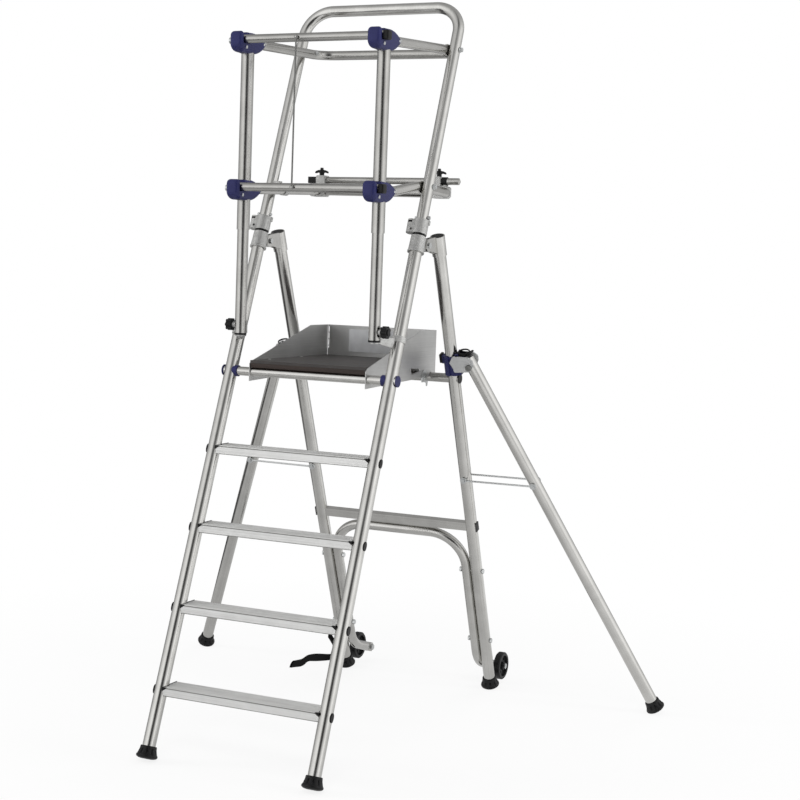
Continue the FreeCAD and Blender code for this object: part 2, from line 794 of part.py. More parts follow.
knob = star_knob((post_x + 26.3, post_y, 1287), (1, 0, 0), 19, 19, 7)
knob = knob.fuse(rod((post_x + 45, post_y, 1287), (post_x + 48, post_y, 1287), 10))
knob = knob.fuse(rod((post_x + 17.6, post_y, 1287), (post_x + 27, post_y, 1287), 4))
feature("post_knob_right", knob)
feature("post_knob_left", flip(knob))

# ---------------------------------------------------------------------------
# Corner brackets: a rounded block in front and two cheeks along the guard rails
# ---------------------------------------------------------------------------


bolt_radius = 4


def bracket_profile(height):
    """Side view: a block in front, flat above and below, and a tail like half an egg."""
    top = size.bracket_height.number / 2 - 3
    bottom = top - size.bracket_height.number

    def at(y, z):
        return Vector(0, post_y + y, height + z)

    edges = [
        Part.makeLine(at(-68, top - 2.5), at(-30, top)),
        Part.makeLine(at(-30, top), at(-6, top)),
        Part.Arc(at(-6, top), at(44, top - 7), at(72, 9)).toShape(),
        Part.Arc(at(72, 9), at(75, 3.5), at(72.5, -3)).toShape(),
        Part.Arc(at(72.5, -3), at(46, bottom + 12.5), at(2, bottom)).toShape(),
        Part.makeLine(at(2, bottom), at(-55, bottom)),
        Part.Arc(at(-55, bottom), at(-70.5, bottom + 6), at(-77, bottom + 20.5)).toShape(),
        Part.makeLine(at(-77, bottom + 20.5), at(-77, top - 11.5)),
        Part.Arc(at(-77, top - 11.5), at(-74.3, top - 5.1), at(-68, top - 2.5)).toShape(),
    ]
    return Part.Face(Part.Wire(edges))


def bracket_plan(half_width, low, high):
    """Plan view: parallel cheeks with rounded front corners, pushed up from low to high."""
    front, corner = post_y - 77, 9
    bow = corner * (1 - math.sqrt(0.5))

    def at(x, y):
        return Vector(post_x + x, y, low)

    edges = [
        Part.makeLine(at(corner - half_width, front), at(half_width - corner, front)),
        Part.Arc(
            at(half_width - corner, front), at(half_width - bow, front + bow),
            at(half_width, front + corner),
        ).toShape(),
        Part.makeLine(at(half_width, front + corner), at(half_width, post_y + 80)),
        Part.makeLine(at(half_width, post_y + 80), at(-half_width, post_y + 80)),
        Part.makeLine(at(-half_width, post_y + 80), at(-half_width, front + corner)),
        Part.Arc(
            at(-half_width, front + corner), at(bow - half_width, front + bow),
            at(corner - half_width, front),
        ).toShape(),
    ]
    return Part.Face(Part.Wire(edges)).extrude(Z_AXIS * (high - low))


gate_radius = size.gate_diameter.number / 2
gate_y = post_y - size.gate_setback.number
gate_lift = gate_radius - 8


def corner_bracket(height, capped):
    half_width = size.bracket_width.number / 2
    solid = bracket_profile(height).extrude(X_AXIS * (2 * half_width))
    solid.translate(Vector(post_x - half_width, 0, 0))
    solid = solid.common(bracket_plan(half_width, height - 50, height + 50))
    bore_top = size.sleeve_top.number + 0.3 if capped else height + 50
    solid = solid.cut(rod((post_x, post_y, height - 50), (post_x, post_y, bore_top), 20.05))
    slot = box(post_x - 30, post_x + 30, post_y - 64, post_y - 30, height - 8.3, height + 50)
    solid = solid.cut(slot)
    socket_bore = rod((post_x, post_y + 21, height + 5), (post_x, post_y + 120, height + 5), 15.05)
    solid = solid.cut(socket_bore)
    rivet = (post_y + 66, height + 5)
    solid = solid.cut(rod((post_x - 30, *rivet), (post_x + 30, *rivet), bolt_radius + 0.05))
    hinge = (height + gate_lift,)
    solid = solid.cut(
        rod((post_x, post_y - 68.1, *hinge), (post_x, post_y - 25.9, *hinge), bolt_radius + 0.05)
    )
    return max(solid.Solids, key=lambda piece: piece.Volume)


brackets = []
for height, capped in ((size.upper_rail_height.number, True), (size.mid_rail_height.number, False)):
    brackets.append(both_sides(corner_bracket(height, capped)))
feature("corner_brackets", solids(brackets))

# ---------------------------------------------------------------------------
# Guard rails: a U round the back at two levels, and a short rail on the right
# ---------------------------------------------------------------------------

rail_outer = size.rail_diameter.number / 2
rail_inner = rail_outer - size.rail_wall.number
rear_run = size.rail_rear_y.number
upper_axis = size.upper_rail_height.number + 5
mid_axis = size.mid_rail_height.number + 5
rise = size.rail_rise.number
upper_bolt = (stile_y(2173), 2173)
mid_bolt = (stile_y(1733), 1733)
hoop_radius = size.hoop_diameter.number / 2
tab_outer = stile_x - hoop_radius - 0.3


def pressed_tab(bolt, x_low, y_from, y_to, z, half_height):
    """The flat end of a rail, drilled for its bolt."""
    tab = box(x_low, x_low + 3, min(y_from, y_to), max(y_from, y_to), z - half_height, z + half_height)
    return tab.cut(rod((x_low - 1, *bolt), (x_low + 4, *bolt), bolt_radius + 0.05))


def guard_u_rail(axis_z, bolt, bend, front_run_end, tab_end):
    """Left side run, rear run, and a right leg that ends flat on the hoop."""
    points = [
        (-post_x, post_y + 25, axis_z),
        (-post_x, post_y + 98, axis_z),
        (-post_x, rear_run, axis_z + rise),
        (post_x + 19, rear_run, axis_z + rise - 3),
        (post_x + 19, front_run_end, bolt[1] - 1),
    ]
    tube = bent_tube(points, [150, bend, 32], rail_outer, rail_inner)
    tab_x = tab_outer - 6.3
    tab_start = front_run_end - 14
    pressed = flat_end(
        (post_x + 19, front_run_end, bolt[1] - 1), (tab_x + 1.5, tab_start, bolt[1] - 1),
        rail_outer, 3, 36,
    )
    tab = pressed_tab(bolt, tab_x, tab_start + 0.5, tab_end, bolt[1] - 1, 18)
    return tube.fuse([pressed, tab]), points


def guard_side_rail(axis_z, bolt, tube_end, tab_end):
    points = [
        (post_x, post_y + 25, axis_z),
        (post_x, post_y + 98, axis_z),
        (post_x + 20, tube_end, bolt[1] - 1),
    ]
    tube = bent_tube(points, [150], rail_outer, rail_inner)
    tab_x = tab_outer - 3
    pressed = flat_end(
        points[-1], (tab_x + 1.5, tube_end + 14, bolt[1] - 1), rail_outer, 3, 36
    )
    tab = pressed_tab(bolt, tab_x, tube_end + 13.5, tab_end, bolt[1] - 1, 18)
    return tube.fuse([pressed, tab])


upper_u, upper_u_points = guard_u_rail(upper_axis, upper_bolt, size.rail_bend.number, 849, 807)
left_bolt = ((-post_x - 30, *upper_bolt), (-post_x + 30, *upper_bolt))
upper_u = upper_u.cut(rod(*left_bolt, bolt_radius + 0.05))
mid_u, mid_u_points = guard_u_rail(mid_axis, mid_bolt, 42, 692, 640)
feature("guard_rails_rear", solids([upper_u, mid_u]))
upper_side = guard_side_rail(upper_axis, upper_bolt, 792, 834.5)
mid_side = guard_side_rail(mid_axis, mid_bolt, 624, 677)
feature("guard_rails_right", solids([upper_side, mid_side]))

# holes through the hoop for the rail bolts and the lock pins
lock_pin = (stile_y(1636), 1636)
for name, (_, height) in (("upper_bolt", upper_bolt), ("mid_bolt", mid_bolt), ("lock_pin", lock_pin)):
    hole = new_sketch(hoop, name + "_hole", "YZ_Plane")
    circle(hole, 2 * bolt_radius + 0.1, 0, up_stile(height))
    pocket_through(hoop, hole)

fasteners = []
for x_low, bolt in ((tab_outer - 12, upper_bolt), (tab_outer - 12, mid_bolt)):
    fasteners.append(
        solids([
            rod((x_low + 5.5, *bolt), (stile_x + hoop_radius + 6, *bolt), bolt_radius)
            .fuse(hex_bolt((x_low + 5.5, *bolt), (-1, 0, 0), 13, 5))
            .fuse(rod((stile_x + hoop_radius + 0.3, *bolt), (stile_x + hoop_radius + 3, *bolt), 9))
            .fuse(hex_bolt((stile_x + hoop_radius + 3, *bolt), (1, 0, 0), 13, 6))
        ])
    )
left_stud = rod((-stile_x - 24, *upper_bolt), (-post_x + 21, *upper_bolt), bolt_radius)
left_stud = left_stud.fuse(
    sleeve((-stile_x + 18.3, *upper_bolt), (-post_x - 15.3, *upper_bolt), 8, bolt_radius - 0.5)
)
left_stud = left_stud.fuse(hex_bolt((-stile_x - 18.5, *upper_bolt), (-1, 0, 0), 13, 6))
left_stud = left_stud.fuse(hex_bolt((-post_x + 15.5, *upper_bolt), (1, 0, 0), 13, 5))
fasteners.append(left_stud)
left_mid = rod((-stile_x - 24, *mid_bolt), (-stile_x + 22, *mid_bolt), bolt_radius)
left_mid = left_mid.fuse(hex_bolt((-stile_x - 18.5, *mid_bolt), (-1, 0, 0), 13, 6))
fasteners.append(left_mid)
for side in (-1, 1):
    pin_rod = rod(
        (side * (stile_x - 24), *lock_pin), (side * (stile_x + 27), *lock_pin), bolt_radius
    )
    pin_rod = pin_rod.fuse(
        rod((side * (stile_x + 19), *lock_pin), (side * (stile_x + 26), *lock_pin), 6)
    )
    fasteners.append(pin_rod)
    # the gate hinge, gate rest and rail rivets in the corner brackets
    for height in (size.upper_rail_height.number, size.mid_rail_height.number):
        x = side * post_x
        face = side * (post_x + 22)
        for out in (-1, 1):
            rivet = (post_y + 66, height + 5)
            screw = (post_y - 47, height - 19)
            fasteners.append(rod((x + out * 15.6, *rivet), (x + out * 24.5, *rivet), 4))
            fasteners.append(rod((x + out * 22, *screw), (x + out * 24.5, *screw), 5))
        if side < 0:
            fasteners.append(
                rod((x - 22.2, gate_y, height + 1), (x - 35, gate_y, height + 1), 10)
            )

# a strap under the left mid rail ties it to the hoop
strap_y = mid_bolt[0]
strap_z = mid_axis + rise * (strap_y - post_y - 98) / (rear_run - post_y - 98)
strap = sleeve(
    (-post_x, strap_y - 13, strap_z), (-post_x, strap_y + 13, strap_z), rail_outer + 3.4, rail_outer + 0.7
)
strap_lug = box(-stile_x + 8, -post_x - 14, strap_y - 12, strap_y + 12, mid_bolt[1] - 12, mid_bolt[1] + 12)
strap = strap.fuse(strap_lug)
strap = strap.cut(
    rod((-post_x, strap_y - 20, strap_z), (-post_x, strap_y + 20, strap_z), rail_outer + 0.7)
)
hoop_line = ((-stile_x, stile_y(1500), 1500), (-stile_x, stile_y(2000), 2000))
strap = strap.cut(rod(*hoop_line, hoop_radius + 0.3))
strap = strap.cut(rod((-stile_x, *mid_bolt), (-post_x - 6, *mid_bolt), bolt_radius + 0.3))
strap = max(strap.Solids, key=lambda piece: piece.Volume)

# ---------------------------------------------------------------------------
# Accessory bar across the back of the mid rail, its two clamps and their wing screws
# ---------------------------------------------------------------------------

bar_z = mid_axis + rise + 35
bar_radius = 11
bar_clamps = [strap]
rail_spine = [mid_u_points[1], mid_u_points[2], mid_u_points[3], mid_u_points[4]]
rail_room = bent_tube(rail_spine, [42, 32], rail_outer + 0.3, 0)
for side in (-1, 1):
    outline = [
        (194, bar_z - 52), (199, bar_z - 55), (243, bar_z - 55), (250, bar_z - 48),
        (250, bar_z - 21), (245, bar_z - 16), (226, bar_z - 15), (226, bar_z + 12),
        (222, bar_z + 15), (198, bar_z + 15), (194, bar_z + 11),
    ]
    outline = [(side * x, z) for x, z in outline]
    block = prism(outline, "y", rear_run - 19, rear_run + 19)
    block = block.cut(rail_room)
    block = block.cut(rod((side * 180, rear_run, bar_z), (side * 270, rear_run, bar_z), bar_radius + 0.3))
    block = block.cut(rod((side * 214, rear_run, bar_z), (side * 214, rear_run, bar_z + 20), 4.3))
    if side > 0:
        bush_room = rod((226.3, rear_run, bar_z), (245, rear_run, bar_z), 14.02)
        rest = box(230, 243, rear_run - 8, rear_run + 8, bar_z - 17, bar_z - 10)
        block = block.fuse(rest).cut(bush_room)
    bar_clamps.append(max(block.Solids, key=lambda piece: piece.Volume))
    wings = []
    for x, z in ((6.5, 23), (12, 25.5), (22, 22.5), (24, 25), (21, 29.5), (12, 33), (4, 34), (3.5, 41)):
        wings.append((side * 214 + x, bar_z + z))
    wings += [(2 * side * 214 - x, z) for x, z in reversed(wings)]
    grip = prism(wings, "y", rear_run - 4.5, rear_run + 4.5)
    grip = grip.fuse([
        rod((side * 214, rear_run, bar_z + 15.4), (side * 214, rear_run, bar_z + 34), 8),
        rod((side * 214, rear_run, bar_z + bar_radius + 0.4), (side * 214, rear_run, bar_z + 20), 4),
    ])
    feature("clamp_knob_right" if side > 0 else "clamp_knob_left", grip.removeSplitter())
feature("rail_clamps", solids(bar_clamps))

accessory = sleeve((-225.9, rear_run, bar_z), (284, rear_run, bar_z), bar_radius, bar_radius - 1.6)
dome = Part.makeSphere(bar_radius, Vector(278, rear_run, bar_z)).common(
    box(282, 290, rear_run - 12, rear_run + 12, bar_z - 12, bar_z + 12)
)
block_end = box(-260, -226, rear_run - 10.6, rear_run + 10.6, bar_z - 10.6, bar_z + 10.6)
block_end = block_end.fuse(rod((-227, rear_run, bar_z), (-212, rear_run, bar_z), bar_radius - 1.7))
feature("accessory_bar", accessory.fuse(dome))
feature("accessory_bar_plugs", block_end)
bar_bush = sleeve((228, rear_run, bar_z), (244, rear_run, bar_z), 14, bar_radius + 0.05)
bar_bush.Placement = GUARD
feature(
    "tread_ends_and_tube_caps",
    solids([*tread_ends, tread_covers, end_rings, collar_rings, bar_bush]), Placement(),
)

# ---------------------------------------------------------------------------
# Swing-up gate across the front: two bars and the link that keeps them together
# ---------------------------------------------------------------------------

gate_right = post_x + 24.3
gate_bars = []
for label, height in (("gate_top_bar", size.upper_rail_height), ("gate_mid_bar", size.mid_rail_height)):
    axis_z = height.number + gate_lift
    tube = sleeve((-post_x, gate_y, axis_z), (gate_right, gate_y, axis_z), gate_radius, gate_radius - 2)
    eye = rod((-post_x, gate_y - gate_radius, axis_z), (-post_x, gate_y + gate_radius, axis_z), gate_radius)
    round_end = eye.common(rod((-post_x - 20, gate_y, axis_z), (-post_x + 13, gate_y, axis_z), gate_radius))
    pivot = ((-post_x, gate_y - 30, axis_z), (-post_x, gate_y + 30, axis_z))
    bar = tube.fuse(round_end).cut(rod(*pivot, 4.1))
    link_pin = rod((-30, gate_y - gate_radius - 8, axis_z), (-30, gate_y + gate_radius, axis_z), 2.5)
    bar = bar.fuse(link_pin).removeSplitter()
    gate_bars.append((label, bar, axis_z))
    feature(label, bar)
gate_caps = {}
for label, bar, axis_z in gate_bars:
    cap = box(gate_right, gate_right + 20, gate_y - 16, gate_y + 16, axis_z - 16, axis_z + 16)
    cap = cap.fuse(rod((gate_right - 14, gate_y, axis_z), (gate_right + 1, gate_y, axis_z), gate_radius - 2.05))
    feature(label.replace("_bar", "_cap"), cap)
link_low = gate_bars[1][2]
link_high = gate_bars[0][2]
link_y = gate_y - gate_radius - 4
link = rod((-30, link_y, link_low), (-30, link_y, link_high), 2.6)
for height in (link_low, link_high):
    link = link.fuse(rod((-30, link_y - 2, height), (-30, link_y + 2, height), 6.5))
for height in (link_low, link_high):
    link = link.cut(rod((-30, link_y - 5, height), (-30, link_y + 5, height), 2.6))
feature("gate_link", link)
hinge_pins = []
for label, bar, axis_z in gate_bars:
    hinge_pins.append(rod((-post_x, post_y - 68, axis_z), (-post_x, post_y - 26, axis_z), 4))
feature("guard_fasteners", solids(fasteners + hinge_pins))

# ---------------------------------------------------------------------------
# Platform: plywood deck in a tray of three sheet-metal toe boards
# ---------------------------------------------------------------------------

tray_front = size.tray_front
tray_rear = size.tray_rear
tray_x = size.tray_half_width
sheet_metal = size.sheet_thickness
deck_low = size.deck_top - size.deck_thickness

side_board = new_body("toe_board_right", GUARD)
side_outline = new_sketch(side_board, "side_outline", "YZ_Plane", tray_x - sheet_metal)
polygon(side_outline, [
    (tray_front, size.tray_bottom), (tray_rear - 3, size.tray_bottom + 18),
    (tray_rear - 3, size.toe_board_top), (size.toe_board_slope_end, size.toe_board_top),
    (tray_front + 8, size.toe_board_low), (tray_front, size.toe_board_low - 8),
])
pad(side_board, side_outline, sheet_metal)
shelf = new_sketch(side_board, "side_shelf", "XZ_Plane", -tray_rear + 4)
rectangle(shelf, tray_x - 26, tray_x - 1, deck_low - sheet_metal, deck_low)
pad(side_board, shelf, tray_rear - tray_front - 10)
pivot_hole = new_sketch(side_board, "pivot_hole", "YZ_Plane")
circle(pivot_hole, size.platform_tube_diameter + 0.1, tube_y, tube_z)
pocket_through(side_board, pivot_hole)
rear_bar_z = size.platform_bar_reach.number * math.cos(rear_lean)
rear_bar_y = size.base_depth.number - size.platform_bar_reach.number * math.sin(rear_lean)
notch_radius = 15.8
notch_way = Vector(-0.407, -0.913, 0)
notch_side = Vector(-notch_way.y, notch_way.x, 0) * notch_radius
notch = new_sketch(side_board, "rear_bar_notch", "YZ_Plane")
mouth = Vector(rear_bar_y, rear_bar_z, 0) + notch_way * 60
saddle = Vector(rear_bar_y, rear_bar_z, 0)
crown = saddle - notch_way * notch_radius
notch_corner = 0.82
polygon(notch, [
    (mouth.x + notch_side.x, mouth.y + notch_side.y),
    (saddle.x + notch_side.x, saddle.y + notch_side.y),
    (saddle.x + (notch_side.x - notch_way.x * notch_radius) * notch_corner,
     saddle.y + (notch_side.y - notch_way.y * notch_radius) * notch_corner),
    (crown.x, crown.y),
    (saddle.x + (-notch_side.x - notch_way.x * notch_radius) * notch_corner,
     saddle.y + (-notch_side.y - notch_way.y * notch_radius) * notch_corner),
    (saddle.x - notch_side.x, saddle.y - notch_side.y),
    (mouth.x - notch_side.x, mouth.y - notch_side.y),
])
pocket_through(side_board, notch)
cut_out = new_sketch(side_board, "handle_cut_out", "YZ_Plane")
polygon(cut_out, [(741, 1161), (810, 1159), (811, 1148), (751, 1141)])
pocket_through(side_board, cut_out)
bent_tab = new_sketch(side_board, "handle_tab", "YZ_Plane", tray_x - sheet_metal)
polygon(bent_tab, [(751, 1141), (811, 1148), (811, 1150), (751, 1143)])
pad(side_board, bent_tab, sheet_metal + 6)
mirrored(side_board, "toe_board_left")

rear_board = new_body("toe_board_rear", GUARD)
rear_outline = new_sketch(rear_board, "rear_outline", "XZ_Plane", -tray_rear)
rectangle(
    rear_outline, sheet_metal - tray_x + 0.3, tray_x - sheet_metal - 0.3,
    size.tray_bottom + 20, size.toe_board_top,
)
pad(rear_board, rear_outline, sheet_metal)
rear_shelf = new_sketch(rear_board, "rear_shelf", "YZ_Plane")
rectangle(rear_shelf, tray_rear - 3.6, tray_rear - 1, size.tray_bottom + 20, size.tray_bottom + 22)
pad(rear_board, rear_shelf, tray_x * 2 - 60, symmetric=True)
for number, (low, high) in enumerate(((1255, 1274), (1233, 1252), (1211, 1230), (1201, 1208))):
    slots = new_sketch(rear_board, f"fold_slots_{number}", "XZ_Plane")
    rectangle(slots, -tray_x + 4.4, -tray_x + 7.4, low, high)
    rectangle(slots, tray_x - 7.4, tray_x - 4.4, low, high)
    pocket_through(rear_board, slots)

deck = new_body("deck_board", GUARD)
deck_outline = new_sketch(deck, "deck_outline", "XY_Plane", deck_low)
rectangle(
    deck_outline, sheet_metal - tray_x + 0.5, tray_x - sheet_metal - 0.5,
    tray_front + 2, tray_rear - 4.5,
)
pad(deck, deck_outline, size.deck_thickness)

# spring latch in the right toe board, over the rear platform tube
latch_y = 849
latch_z = 1129
latch = prism(
    [
        (latch_y - 22, latch_z - 16), (latch_y + 2, latch_z - 16), (latch_y + 14, latch_z - 20),
        (latch_y + 17, latch_z - 30), (latch_y + 21, latch_z - 28), (latch_y + 24, latch_z - 12),
        (latch_y + 10, latch_z + 18), (latch_y - 8, latch_z + 24), (latch_y - 22, latch_z + 12),
    ],
    "x", tray_x.number + 0.4, tray_x.number + 3.9,
)
latch_hole = (latch_y - 8, latch_z)
latch = latch.cut(
    rod((tray_x.number, *latch_hole), (tray_x.number + 6, *latch_hole), 4.05)
)
latch_bolt = rod((tray_x.number, *latch_hole), (tray_x.number + 9, *latch_hole), 4)
latch_bolt = latch_bolt.fuse(hex_bolt((tray_x.number + 4.3, *latch_hole), (1, 0, 0), 13, 5))
feature("platform_latch", solids([latch, latch_bolt]))

# ---------------------------------------------------------------------------
# Rear frame
# ---------------------------------------------------------------------------

rear_leg = tube_body(
    "rear_leg_right", REAR, size.leg_half_gap, 0,
    size.tube_floor_gap, size.leg_length, size.leg_diameter, size.leg_wall,
)
bar_hole = new_sketch(rear_leg, "crossbar_hole", "YZ_Plane")
rectangle(
    bar_hole, -size.bar_width / 2 - 0.05, size.bar_width / 2 + 0.05,
    size.crossbar_reach - size.bar_height / 2 - 0.05,
    size.crossbar_reach + size.bar_height / 2 + 0.05,
)
pocket_through(rear_leg, bar_hole)
round_hole = new_sketch(rear_leg, "platform_bar_hole", "YZ_Plane")
circle(round_hole, size.rail_diameter + 0.1, 0, size.platform_bar_reach)
pocket_through(rear_leg, round_hole)
frame_bolts = (484, 202)
for number, reach in enumerate(frame_bolts):
    bolt_hole = new_sketch(rear_leg, f"frame_bolt_hole_{number}", "YZ_Plane")
    circle(bolt_hole, 2 * bolt_radius + 0.1, 0, reach)
    pocket_through(rear_leg, bolt_hole)
brace_hole = new_sketch(rear_leg, "brace_pin_hole", "XZ_Plane")
circle(brace_hole, 2 * bolt_radius + 0.1, size.leg_half_gap, size.brace_reach)
pocket_through(rear_leg, brace_hole)
mirrored(rear_leg, "rear_leg_left")

crossbar = new_body("rear_crossbar", REAR)
bar_ring = new_sketch(crossbar, "crossbar_ring", "YZ_Plane")
rectangle(
    bar_ring, -size.bar_width / 2, size.bar_width / 2,
    size.crossbar_reach - size.bar_height / 2, size.crossbar_reach + size.bar_height / 2,
)
rectangle(
    bar_ring, size.rail_wall - size.bar_width / 2, size.bar_width / 2 - size.rail_wall,
    size.crossbar_reach - size.bar_height / 2 + size.rail_wall,
    size.crossbar_reach + size.bar_height / 2 - size.rail_wall,
)
pad(crossbar, bar_ring, size.leg_half_gap * 2 + 38, symmetric=True)
cross_tube_body(
    "rear_platform_tube", REAR, 0, size.platform_bar_reach,
    size.leg_half_gap + 19, size.rail_diameter, size.rail_wall,
)
bar_reach = size.crossbar_reach.number
platform_reach = size.platform_bar_reach.number
leg_tube = rod((leg_x, 0, bar_reach - 50), (leg_x, 0, platform_reach + 50), 20.03)
plug = box(leg_x + 19, leg_x + 22, -11, 11, bar_reach - 16, bar_reach + 16).cut(leg_tube)
plug = plug.fuse(box(leg_x, leg_x + 20, -7.9, 7.9, bar_reach - 12.9, bar_reach + 12.9))
round_plug = rod((leg_x + 19, 0, platform_reach), (leg_x + 22, 0, platform_reach), 16)
round_plug = round_plug.cut(leg_tube)
round_plug = round_plug.fuse(rod((leg_x, 0, platform_reach), (leg_x + 20, 0, platform_reach), 12.9))

# hinge sockets at the top of the rear legs: a fork either side of the stile socket's ear
leg_socket_low = size.leg_length.number - 48
leg_top = size.tube_floor_gap.number + size.leg_length.number
socket_top = leg_top + 3
top_plug = rod((leg_x, 0, leg_top + 0.1), (leg_x, 0, socket_top), 19.5)
top_plug = top_plug.fuse(rod((leg_x, 0, leg_top - 12), (leg_x, 0, leg_top + 1), 18.15))
feature("rear_bar_plugs", both_sides(solids([plug, round_plug, top_plug])), REAR)
fork = []
for x_low, x_high in ((pin.x - 10.6, pin.x - 5.1), (pin.x + 5.1, pin.x + 10.6)):
    plate = prism(
        [
            (-4, leg_socket_low + 2), (pin_rear.y + 6, pin_rear.z - 20),
            (pin_rear.y - 16, pin_rear.z - 12), (pin_rear.y - 16, pin_rear.z + 12),
            (pin_rear.y + 2, pin_rear.z + 20), (-4, socket_top - 1),
        ],
        "x", x_low, x_high,
    )
    fork.append(
        plate.fuse(rod((x_low, pin_rear.y, pin_rear.z), (x_high, pin_rear.y, pin_rear.z), 20))
    )
rear_socket = rod((leg_x, 0, leg_socket_low), (leg_x, 0, socket_top), 23).fuse(fork)
rear_socket = rear_socket.cut(rod((leg_x, 0, leg_socket_low - 1), (leg_x, 0, socket_top + 9), 20.05))
rear_socket = rear_socket.cut(
    rod((pin.x - 14, pin_rear.y, pin_rear.z), (pin.x + 14, pin_rear.y, pin_rear.z), 5.05)
)
ear_room = rod(
    (pin.x - 5.1, pin_rear.y, pin_rear.z), (pin.x + 5.1, pin_rear.y, pin_rear.z), 34
)
rear_socket = rear_socket.cut(ear_room)
feature("rear_sockets", both_sides(rear_socket), REAR)

hinge_pin = rod((pin.x - 15, pin_rear.y, pin_rear.z), (pin.x + 15, pin_rear.y, pin_rear.z), 5)
hinge_pin = hinge_pin.fuse(
    rod((pin.x + 10.9, pin_rear.y, pin_rear.z), (pin.x + 15, pin_rear.y, pin_rear.z), 9)
)
hinge_pin = hinge_pin.fuse(
    hex_bolt((pin.x - 10.9, pin_rear.y, pin_rear.z), (-1, 0, 0), 15, 5)
)

# ---------------------------------------------------------------------------
# Wheel frame: a U of tube bolted inside the rear legs, kicked back to the wheels
# ---------------------------------------------------------------------------

frame_x = size.wheel_frame_half_gap.number
frame_radius = size.wheel_frame_diameter.number / 2
axle = REAR.inverse().multVec(GUARD.multVec(Vector(0, size.wheel_y.number, size.wheel_z.number)))
kick_low = (frame_x, axle.y, axle.z)
kick_high = (frame_x, 0, 107)
frame_top = size.wheel_frame_top.number
frame_points = [
    kick_low, kick_high, (frame_x, 0, frame_top), (-frame_x, 0, frame_top),
    (-frame_x, 0, 107), (-frame_x, axle.y, axle.z),
]
frame_bend = size.wheel_frame_bend.number
wheel_frame = bent_tube(
    frame_points, [100, frame_bend, frame_bend, 100], frame_radius, frame_radius - 1.8
)
for side in (-1, 1):
    wheel_frame = wheel_frame.fuse(
        rod((side * (frame_x - frame_radius), axle.y, axle.z),
            (side * (frame_x + frame_radius), axle.y, axle.z), frame_radius - 0.5)
    )
wheel_frame = wheel_frame.cut(rod((-300, axle.y, axle.z), (300, axle.y, axle.z), 6.05))
for reach in frame_bolts:
    wheel_frame = wheel_frame.cut(rod((-300, 0, reach), (300, 0, reach), bolt_radius + 0.05))
feature("wheel_frame", wheel_frame, REAR)

frame_fasteners = []
wheel_x = size.wheel_x.number
for reach in frame_bolts:
    bolt = rod((frame_x - 24, 0, reach), (leg_x + 24, 0, reach), bolt_radius)
    bolt = bolt.fuse(hex_bolt((leg_x + 20.3, 0, reach), (1, 0, 0), 15, 5))
    bolt = bolt.fuse(hex_bolt((frame_x - 17.3, 0, reach), (-1, 0, 0), 15, 7))
    frame_fasteners.append(bolt)
axle_bolt = rod((frame_x - 24, axle.y, axle.z), (wheel_x + 20, axle.y, axle.z), 6)
axle_bolt = axle_bolt.fuse(
    rod((frame_x + frame_radius + 0.3, axle.y, axle.z), (wheel_x - 13, axle.y, axle.z), 9)
)
axle_bolt = axle_bolt.fuse(hex_bolt((wheel_x + 13, axle.y, axle.z), (1, 0, 0), 18, 6))
axle_bolt = axle_bolt.fuse(hex_bolt((frame_x - 17.3, axle.y, axle.z), (-1, 0, 0), 18, 7))
frame_fasteners.append(axle_bolt)

# wheels: tyre, web and hub turned as one, with six round openings in the web
for side, label in ((1, "wheel_right"), (-1, "wheel_left")):
    wheel = new_body(label, Placement(
        Vector(side * wheel_x, front_y + size.wheel_y.number, size.wheel_z.number), Rotation()
    ))
    half = size.wheel_width / 2
    rim = size.wheel_diameter / 2
    section = new_sketch(wheel, label + "_section", "XY_Plane")
    polygon(section, [
        (-half, 6.05), (half, 6.05), (half, 13), (4, 15), (4, rim - 14), (half, rim - 12),
        (half, rim - 3), (half - 3, rim), (3 - half.number, rim), (-half, rim - 3),
        (-half, rim - 12), (-4, rim - 14), (-4, 15), (-half, 13),
    ])
    revolve(wheel, section, "X_Axis")
    opening = new_sketch(wheel, label + "_opening", "YZ_Plane")
    for spoke in range(6):
        turn = math.pi * spoke / 3
        circle(opening, 12, round(24.5 * math.cos(turn), 4), round(24.5 * math.sin(turn), 4))
    pocket_through(wheel, opening)

# ---------------------------------------------------------------------------
# Foot lever on the left rear leg
# ---------------------------------------------------------------------------

lever_hub = (1301, 84)
lever_x = -(leg_x + 24)
blade_top = ((1272, 57), (1190, 75), (1109, 89), (1083, 90), (1051, 86), (1020, 88), (992, 91))
blade_low = ((955, 74), (1000, 67), (1054, 65), (1071, 69), (1109, 65), (1225, 43), (1274, 36))
edges = []
for spots in (blade_top, blade_low):
    curve = Part.BSplineCurve()
    curve.interpolate([Vector(lever_x - 8, *spot) for spot in spots])
    edges.append(curve.toShape())
tip = [Vector(lever_x - 8, *spot) for spot in ((992, 91), (964, 86), (955, 74))]
edges.insert(1, Part.Arc(*tip).toShape())
edges.append(Part.makeLine(Vector(lever_x - 8, 1274, 36), Vector(lever_x - 8, 1272, 57)))
lever_bar = Part.Face(Part.Wire(edges)).extrude(X_AXIS * 8)
lever_bar = lever_bar.fuse(slot_link(lever_hub, (1277, 47), 11, "x", lever_x - 8, lever_x))
lever_bar = lever_bar.fuse(slot_link(lever_hub, (1253, 128), 8, "x", lever_x - 8, lever_x))
lever_bar = lever_bar.cut(rod((lever_x - 10, *lever_hub), (lever_x + 2, *lever_hub), 5.05))
feature("foot_lever", lever_bar.removeSplitter())
lever_pin = rod((-(leg_x + 19.5), *lever_hub), (lever_x - 12, *lever_hub), 5)
lever_pin = lever_pin.fuse(rod((-(leg_x + 19.5), *lever_hub), (lever_x + 0.3, *lever_hub), 9))
lever_pin = lever_pin.fuse(hex_bolt((lever_x - 8.3, *lever_hub), (-1, 0, 0), 15, 5))
